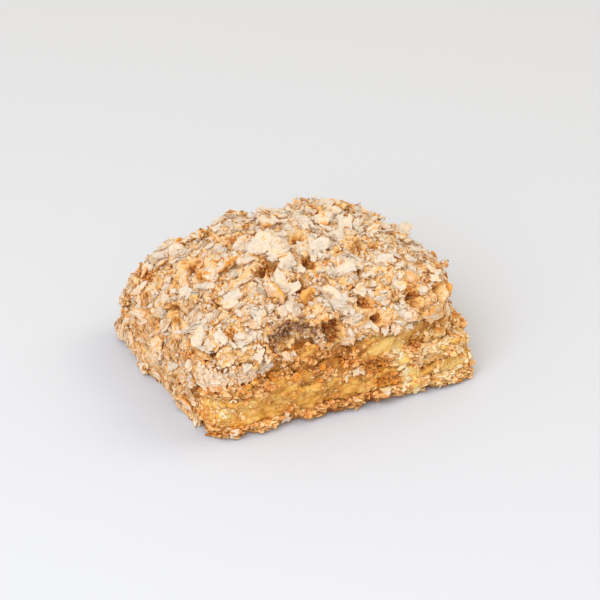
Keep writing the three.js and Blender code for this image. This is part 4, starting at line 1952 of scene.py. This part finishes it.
    @staticmethod
    def _inside(spots: Rows) -> Rows:
        """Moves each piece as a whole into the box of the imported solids.

        Args:
            spots: The vertices of each piece.

        Returns:
            The vertices after the move.
        """
        low, high = box_corners()
        below = np.maximum(low - spots.min(axis=1), 0.0)
        above = np.maximum(spots.max(axis=1) - high, 0.0)
        return spots + (below - above)[:, None]

    def dress(self, shelf: ShaderShelf) -> None:
        """Gives the pieces their finish."""
        dress_piece(self.piece, self.finish, shelf)


@dataclass(frozen=True)
class Lamp:
    """One light that shines at the cake, from degrees around its front and above the floor."""

    name: str
    kind: str
    azimuth: float
    elevation: float
    colour: Colour
    settings: dict[str, float]


KEY = Lamp(
    "key", "SUN", azimuth=84.0, elevation=47.0, colour=(1.0, 0.85, 0.66),
    settings={"energy": 0.75, "angle": math.radians(30.0)},
)
FRONT_FILL = Lamp(
    "front_fill", "AREA", azimuth=-46.0, elevation=41.0, colour=(1.0, 1.0, 1.03),
    settings={"energy": 17.0, "size": 1.2},
)


@dataclass(frozen=True)
class Studio:
    """The plain floor, the soft light and the camera at the photograph's viewing angle."""

    azimuth: float = -25.5
    elevation: float = 29.3
    distance: float = 1117.5
    aim: tuple[float, float, float] = (8.0, 7.4, 17.5)
    focal_pixels: float = 2980.0
    image_pixels: float = 600.0
    sensor: float = 36.0
    lamp_distance_m: float = 1.5
    surroundings: Colour = (1.0, 0.87, 0.65)
    surroundings_strength: float = 0.83
    floor_size_m: float = 6.0
    floor_colour: Colour = srgb(203, 213, 233)
    floor_roughness: float = 0.6

    @staticmethod
    def _towards(azimuth: float, elevation: float) -> Vector:
        """Gives the direction to a viewer or a light.

        Args:
            azimuth: Degrees around from the front, towards +X.
            elevation: Degrees above the floor.

        Returns:
            A unit vector from the cake.
        """
        a, e = math.radians(azimuth), math.radians(elevation)
        return Vector((math.sin(a) * math.cos(e), -math.cos(a) * math.cos(e), math.sin(e)))

    def place_camera(self) -> None:
        """Adds the camera and makes it the scene's own."""
        lens = bpy.data.cameras.new("camera")
        lens.sensor_width = self.sensor
        lens.lens = self.sensor * self.focal_pixels / self.image_pixels
        lens.clip_end = 20.0
        camera = bpy.data.objects.new("camera", lens)
        back = self._towards(self.azimuth, self.elevation)
        camera.location = (Vector(self.aim) + back * self.distance) * MM
        camera.rotation_euler = (-back).to_track_quat("-Z", "Y").to_euler()
        bpy.context.scene.collection.objects.link(camera)
        bpy.context.scene.camera = camera

    def _light(self, lamp: Lamp) -> None:
        """Adds one light that shines at the cake.

        Args:
            lamp: The light.
        """
        light = bpy.data.lights.new(lamp.name, lamp.kind)
        light.color = lamp.colour
        for setting, value in lamp.settings.items():
            setattr(light, setting, value)
        holder = bpy.data.objects.new(lamp.name, light)
        towards = self._towards(lamp.azimuth, lamp.elevation)
        holder.location = towards * self.lamp_distance_m
        holder.rotation_euler = (-towards).to_track_quat("-Z", "Y").to_euler()
        bpy.context.scene.collection.objects.link(holder)

    def place_lights(self) -> None:
        """Adds the sun-like key light, the wide front fill and the even surroundings."""
        for lamp in (KEY, FRONT_FILL):
            self._light(lamp)
        world = bpy.data.worlds.new("surroundings")
        world.use_nodes = True
        background = world.node_tree.nodes["Background"]
        background.inputs["Color"].default_value = (*self.surroundings, 1.0)
        background.inputs["Strength"].default_value = self.surroundings_strength
        bpy.context.scene.world = world
        bpy.context.scene.view_settings.view_transform = "Standard"

    def place_floor(self) -> None:
        """Adds the plain pale floor."""
        bpy.ops.mesh.primitive_plane_add(size=self.floor_size_m)
        floor = bpy.context.active_object
        floor.name = "floor"
        material = bpy.data.materials.new("floor_pale")
        material.use_nodes = True
        surface = material.node_tree.nodes["Principled BSDF"]
        surface.inputs["Base Color"].default_value = (*self.floor_colour, 1.0)
        surface.inputs["Roughness"].default_value = self.floor_roughness
        floor.data.materials.append(material)


# The pits and the hollow of the coat, those with its brown spots, and what crumbs keep clear of.
DEEP = (*PITS, *HOLLOW)
BROWNED = (*DEEP, *BROWN_SPOTS)
CLEAR = (*FRONT_PITS, *BASE_SLITS, *SMOOTH_CUSTARD)

# Brown clumps in the largest pits, and large flakes that hang off the cut edges, with their sizes.
BROWNED_CLUMPS = spots_at((-17.5, -14.0, 49.5, 6.0), (-22.0, -15.0, 48.5, 4.5))
HANGING_FLAKES = spots_at((-24.2, -47.8, 2.4, 5.4), (-44.0, -47.5, 4.0, 5.0), (6.0, -47.8, 16.0, 5.0))
SMALL_CLUMP = ClumpMaker(splinters=12, voxel=0.13)


@dataclass
class Cake:
    """The whole portion: its layers, the custard dragged over them, and everything strewn on top."""

    shelf: ShaderShelf
    bodies: list[FoodBody] = field(init=False)
    smears: CustardSmears = field(init=False)

    def build_bodies(self) -> None:
        """Models the coat's bed, the pastry leaves and the custard fillings."""
        coat_reliefs = (
            Crumble(1.7, (8.0, 8.0, 6.5), 31, 0.75),
            Crumble(0.9, (3.4, 3.4, 2.6), 11),
            Crumble(0.4, (1.7, 1.7, 1.3), 16),
        )
        leaf_reliefs = (
            Swell(0.7, (6.0, 6.0, 1.4), 4),
            Crumble(0.7, (2.6, 2.6, 0.9), 21),
            Swell(0.3, (1.4, 1.4, 0.5), 5),
        )
        custard_reliefs = (
            Swell(0.8, (9.0, 9.0, 4.0), 6),
            Swell(0.3, (5.0, 5.0, 0.9), 8),
            Crumble(0.35, (2.6, 2.6, 1.8), 26),
        )
        coat = FoodBody(
            "crumb_coat", "coat_bed", Slot.CRUMBS, COAT_BED_FINISH, voxel=0.68, reliefs=coat_reliefs,
            sink=0.8, pits=(*PITS, *HOLLOW), pit_depth=4.2, browning=0.25,
        )
        leaves = [
            FoodBody(
                node, node + "_leaf", Slot.PASTRY, LEAF_FINISH, voxel=0.75, reliefs=leaf_reliefs,
                pits=(*FRONT_PITS, *BASE_SLITS), cut_faces_only=True, browning=0.45, cream_and_lit_spots=CREAMY,
                edge_lift=lift, grain_stretch=(0.6, 0.6, 2.5),
            )
            for node, lift in (("base_pastry", 2.4), ("middle_pastry", 0.0))
        ]
        # The upper filling is browner than the lower one as painted shade under the coat's overhanging rim;
        # its lit spots are paled again as painted light.
        fillings = [
            FoodBody(
                node, node + "_filling", Slot.CUSTARD, CUSTARD_FINISH, voxel=0.85, reliefs=custard_reliefs,
                sink=-0.2, pits=FRONT_PITS, cut_faces_only=True, browning=browning,
                cream_and_lit_spots=(*CREAMY, *LIT_CUSTARD),
            )
            for node, browning in (("lower_custard", 0.42), ("upper_custard", 0.95))
        ]
        self.bodies = [coat, *leaves, *fillings]
        for body in self.bodies:
            body.model()
            body.dress(self.shelf)

    def drag_custard(self) -> None:
        """Models the custard dragged over the cut faces."""
        self.smears = CustardSmears(CUSTARD_FINISH, FRONT_SMEARS, LEFT_SMEARS)
        self.smears.model(self.bodies)
        self.smears.dress(self.shelf)

    def strew_pieces(self) -> None:
        """Strews the crumbs, flakes and clumps, and paints shade on what lies deep among them."""
        everything = [*self.bodies, self.smears]
        coat_bed = Bed(self.bodies[:1], everything)
        leaf_bed = Bed(self.bodies[1:3], everything, clearance=2.0)
        cut_bed = Bed([*self.bodies[1:], self.smears], everything, clearance=0.5)
        beds = ((coat_bed, self._on_coat()), (leaf_bed, self._on_leaves()), (cut_bed, self._on_cuts()))
        for bed, strewings in beds:
            bed.survey()
            for strewing in strewings:
                strewing.strew(bed)
                strewing.dress(self.shelf)
        strewn = [strewing for _, strewings in beds for strewing in strewings]
        heap = Heap(strewn)
        heap.gather()
        for piece in (*self.bodies, *strewn):
            piece.brown(heap)

    @staticmethod
    def _on_coat() -> list[Strewing]:
        """Lists what lies on the coat.

        Returns:
            The kinds, from the lowest to the uppermost.
        """
        pale, golden, toasted = (FLAKE_FINISHES[baking] for baking in Baking)
        paled = partial(Strewing, finish=pale, slot=Slot.CRUMBS, side_tone_and_shade=0.5)
        return [
            Strewing(
                "coat_crumbs", CrumbMaker(), golden, Slot.CRUMBS, 2200,
                sizes=(0.5, 1.4), tilts=(0, 60), lifts=(-0.3, 0.2), seed=21,
                preference=Preference(DEEP, favour=4.0, on_sides=2.0, seed=62),
            ),
            Strewing(
                "toasted_flakes", FlakeMaker(), toasted, Slot.CRUMBS, 2600,
                sizes=(0.9, 3.0), tilts=(0, 50), lifts=(-0.3, 0.6), seed=22,
                preference=Preference(
                    BROWNED, favour=9.0, elsewhere=0.6, patches=1.0, patch_across=5.0, seed=63, on_sides=0.7
                ),
                browned_near=(),
            ),
            Strewing(
                "golden_flakes", FlakeMaker(), golden, Slot.CRUMBS, 6000,
                sizes=(0.7, 2.7), tilts=(0, 20), lifts=(-0.3, 0.5), seed=23, smallness=1.5,
                preference=Preference(BROWN_SPOTS, favour=2.0, avoided=DEEP, seed=64, on_sides=2.0),
            ),
            paled(
                "pale_flakes", FlakeMaker(), count=9500,
                sizes=(0.7, 2.8), tilts=(0, 18), lifts=(-0.3, 0.6), seed=24, smallness=1.4,
                preference=Preference(
                    PALE_SPOTS, favour=2.0, avoided=BROWNED, margin=1.2, seed=65, on_sides=0.6
                ),
                browning=0.0,
            ),
            paled(
                "layered_shards", FlakeMaker(thickness=0.06, sheets=3), count=900,
                sizes=(1.8, 4.5), tilts=(0, 22), lifts=(0.0, 0.9), seed=25, smallness=1.5,
                preference=Preference(
                    PALE_SPOTS, favour=3.0, avoided=BROWNED, margin=1.6, seed=66, on_sides=0.5
                ),
                browning=0.0,
            ),
            paled(
                "clumps", ClumpMaker(), count=240,
                sizes=(4.0, 11.0), tilts=(0, 12), lifts=(0.4, 1.1), seed=40, smallness=1.3, at=BROAD_CLUMPS,
                preference=Preference(
                    PALE_SPOTS, favour=1.0, avoided=DEEP, margin=1.0, seed=81, on_sides=0.5
                ),
                browning=0.22, patchiness=0.9,
            ),
            Strewing(
                "browned_clumps", SMALL_CLUMP, golden, Slot.CRUMBS, 130,
                sizes=(1.8, 5.0), tilts=(0, 50), lifts=(0.0, 0.7), seed=41, at=BROWNED_CLUMPS,
                preference=Preference(BROWNED, favour=30.0, seed=82),
                side_tone_and_shade=0.1, browning=0.7, browned_near=(),
            ),
            paled(
                "layered_pieces", LayeredMaker(), count=260,
                sizes=(3.2, 9.5), tilts=(0, 16), lifts=(0.1, 0.8), seed=34, smallness=1.5,
                preference=Preference(
                    PALE_SPOTS, favour=2.0, avoided=DEEP, margin=1.6, patches=0.8, seed=75, on_sides=0.4
                ),
                browning=0.0,
            ),
            paled(
                "small_clumps", SMALL_CLUMP, count=460,
                sizes=(1.8, 4.6), tilts=(0, 26), lifts=(0.0, 0.7), seed=33, smallness=1.4,
                preference=Preference(avoided=DEEP, margin=1.0, seed=74, on_sides=0.8),
                browning=0.05,
            ),
            paled(
                "large_flakes", LargeFlakeMaker(), count=220,
                sizes=(2.6, 6.0), tilts=(0, 18), lifts=(0.5, 1.3), seed=26, at=RIM_FLAKES,
                preference=Preference(
                    PALE_SPOTS, favour=6.0, avoided=BROWNED, margin=2.4, patches=1.0, seed=67, on_sides=0.5
                ),
                browning=0.0, browned_near=(),
            ),
            Strewing(
                "hollow_crumbs", SMALL_CLUMP, SHADED_CRUMB_FINISH, Slot.CRUMBS, 480,
                sizes=(1.2, 3.4), tilts=(0, 60), lifts=(0.0, 1.0), seed=36,
                preference=Preference(HOLLOW_CRUMBS, favour=1.0, elsewhere=0.0, seed=77),
                side_tone_and_shade=0.2, browning=0.25, tone_spread=0.5, patchiness=0.8, browned_near=(),
            ),
        ]

    @staticmethod
    def _on_leaves() -> list[Strewing]:
        """Lists what stands out of the cut edges of the pastry leaves.

        Returns:
            The kinds.
        """
        pale, toasted = FLAKE_FINISHES[Baking.PALE], FLAKE_FINISHES[Baking.TOASTED]
        return [
            Strewing(
                "leaf_edges", FlakeMaker(), CUT_CRUMB_FINISH, Slot.PASTRY, 3000,
                sizes=(1.0, 4.2), tilts=(0, 25), lifts=(-0.6, 0.9), seed=27, flat_lying=True,
                preference=Preference(avoided=CLEAR, seed=68),
                side_tone_and_shade=0.0, patchiness=0.5, tone_spread=0.16,
            ),
            Strewing(
                "leaf_browned", FlakeMaker(), toasted, Slot.PASTRY, 800,
                sizes=(0.9, 3.2), tilts=(0, 30), lifts=(-0.5, 0.6), seed=31, flat_lying=True,
                preference=Preference(avoided=CLEAR, patches=1.0, seed=72), side_tone_and_shade=0.0,
            ),
            Strewing(
                "leaf_pieces", LayeredMaker(leaves=4), CUT_CRUMB_FINISH, Slot.PASTRY, 230,
                sizes=(2.6, 6.5), tilts=(0, 18), lifts=(-0.2, 1.0), seed=38, flat_lying=True,
                preference=Preference(avoided=CLEAR, margin=0.5, patches=1.0, seed=79, far_right=1.5),
                browning=0.35, side_tone_and_shade=0.0, patchiness=0.5,
            ),
            Strewing(
                "hanging_flakes", LargeFlakeMaker(), pale, Slot.PASTRY, 40,
                sizes=(2.4, 5.0), tilts=(10, 60), lifts=(0.0, 0.8), seed=32, at=HANGING_FLAKES,
                preference=Preference(avoided=FRONT_PITS, seed=73), browning=0.4, side_tone_and_shade=0.0,
            ),
        ]

    @staticmethod
    def _on_cuts() -> list[Strewing]:
        """Lists what is pressed into the cut faces and the custard.

        Returns:
            The kinds.
        """
        pale, golden, toasted = (FLAKE_FINISHES[baking] for baking in Baking)
        pressed = partial(Strewing, side_tone_and_shade=0.0)
        return [
            pressed(
                "corner_flakes", FlakeMaker(), pale, Slot.CRUMBS, 700,
                sizes=(1.0, 4.0), tilts=(0, 45), lifts=(0.0, 1.2), seed=44,
                preference=Preference(LEFT_CORNER, favour=1.0, elsewhere=0.0, seed=85),
                browning=0.4,
            ),
            pressed(
                "corner_clumps", SMALL_CLUMP, pale, Slot.CRUMBS, 60,
                sizes=(2.5, 6.0), tilts=(0, 40), lifts=(0.0, 1.0), seed=45,
                preference=Preference(LEFT_CORNER, favour=1.0, elsewhere=0.0, seed=86),
                browning=0.3,
            ),
            pressed(
                "strands", StrandMaker(), CREAMY_FINISH, Slot.CUSTARD, 26,
                sizes=(4.0, 9.0), tilts=(0, 12), lifts=(0.1, 0.5), seed=46,
                preference=Preference(STRANDS, favour=1.0, elsewhere=0.0, seed=87),
                browning=0.45,
            ),
            pressed(
                "soaked_crumbs", CrumbMaker(), SOAKED_CRUMB_FINISH, Slot.CUSTARD, 3300,
                sizes=(0.6, 2.4), tilts=(0, 60), lifts=(-0.4, 0.0), seed=39,
                preference=Preference(avoided=CLEAR, margin=0.0, patches=0.5, seed=80),
                # Under the coat's rim the soaked crumbs get painted shade.
                browning=0.4, patchiness=0.6, browned_near=SHADED_CUT,
            ),
            pressed(
                "cut_crumbs", CrumbMaker(), CUT_CRUMB_FINISH, Slot.CRUMBS, 2600,
                sizes=(0.6, 2.0), tilts=(0, 60), lifts=(-0.2, 0.3), seed=28,
                preference=Preference(
                    SHADED_CUT, favour=3.0, avoided=CLEAR, margin=0.3, patches=0.9, seed=69,
                    far_right=2.2, far_left=2.0,
                ),
                browning=0.4, patchiness=0.6,
            ),
            pressed(
                "cut_flakes", FlakeMaker(), CUT_CRUMB_FINISH, Slot.CRUMBS, 1700,
                sizes=(0.9, 3.6), tilts=(0, 35), lifts=(-0.1, 0.6), seed=29,
                preference=Preference(
                    SHADED_CUT, favour=1.5, avoided=CLEAR, margin=0.8, patches=1.0, seed=70,
                    far_right=5.0, far_left=4.0,
                ),
                browning=0.25, patchiness=0.6,
            ),
            pressed(
                "cut_toasted", FlakeMaker(), toasted, Slot.CRUMBS, 700,
                sizes=(0.9, 2.6), tilts=(0, 40), lifts=(-0.1, 0.4), seed=30,
                preference=Preference(
                    # The toasted flakes gather under the coat's rim, where they add to its painted shade.
                    SHADED_CUT, favour=4.0, avoided=CLEAR, patches=1.0, patch_across=5.0, seed=71,
                    far_right=1.4,
                ),
            ),
            pressed(
                "cream_clumps", ClumpMaker(splinters=18, voxel=0.09), CREAMY_FINISH, Slot.CUSTARD, 60,
                sizes=(2.5, 5.5), tilts=(0, 20), lifts=(0.0, 0.5), seed=42, at=CREAM_CLUMPS,
                preference=Preference(
                    avoided=CLEAR, margin=0.8, patches=1.0, seed=83, far_right=8.0, far_left=4.0
                ),
            ),
            pressed(
                "pit_crumbs", CrumbMaker(), golden, Slot.CRUMBS, 420,
                sizes=(0.6, 1.8), tilts=(0, 60), lifts=(-0.2, 0.5), seed=43,
                preference=Preference(FRONT_PITS, favour=1.0, elsewhere=0.0, seed=84),
                browning=0.85, browned_near=(),
            ),
            pressed(
                "cut_clumps", SMALL_CLUMP, CREAMY_FINISH, Slot.CRUMBS, 420,
                sizes=(1.8, 5.0), tilts=(0, 50), lifts=(0.0, 0.5), seed=37,
                preference=Preference(
                    SHADED_CUT, favour=1.0, avoided=CLEAR, margin=0.8, patches=1.0, seed=78,
                    far_right=7.0, far_left=4.0,
                ),
                browning=0.35, patchiness=0.6,
            ),
        ]


def main() -> None:
    """Builds the cake's pieces in order and reports each one."""
    logging.basicConfig(level=logging.INFO, format="%(name)s: %(message)s")
    studio = Studio()
    studio.place_camera()
    cake = Cake(ShaderShelf.build())
    cake.build_bodies()
    cake.drag_custard()
    cake.strew_pieces()
    studio.place_lights()
    studio.place_floor()


if __name__ == "__main__":
    main()
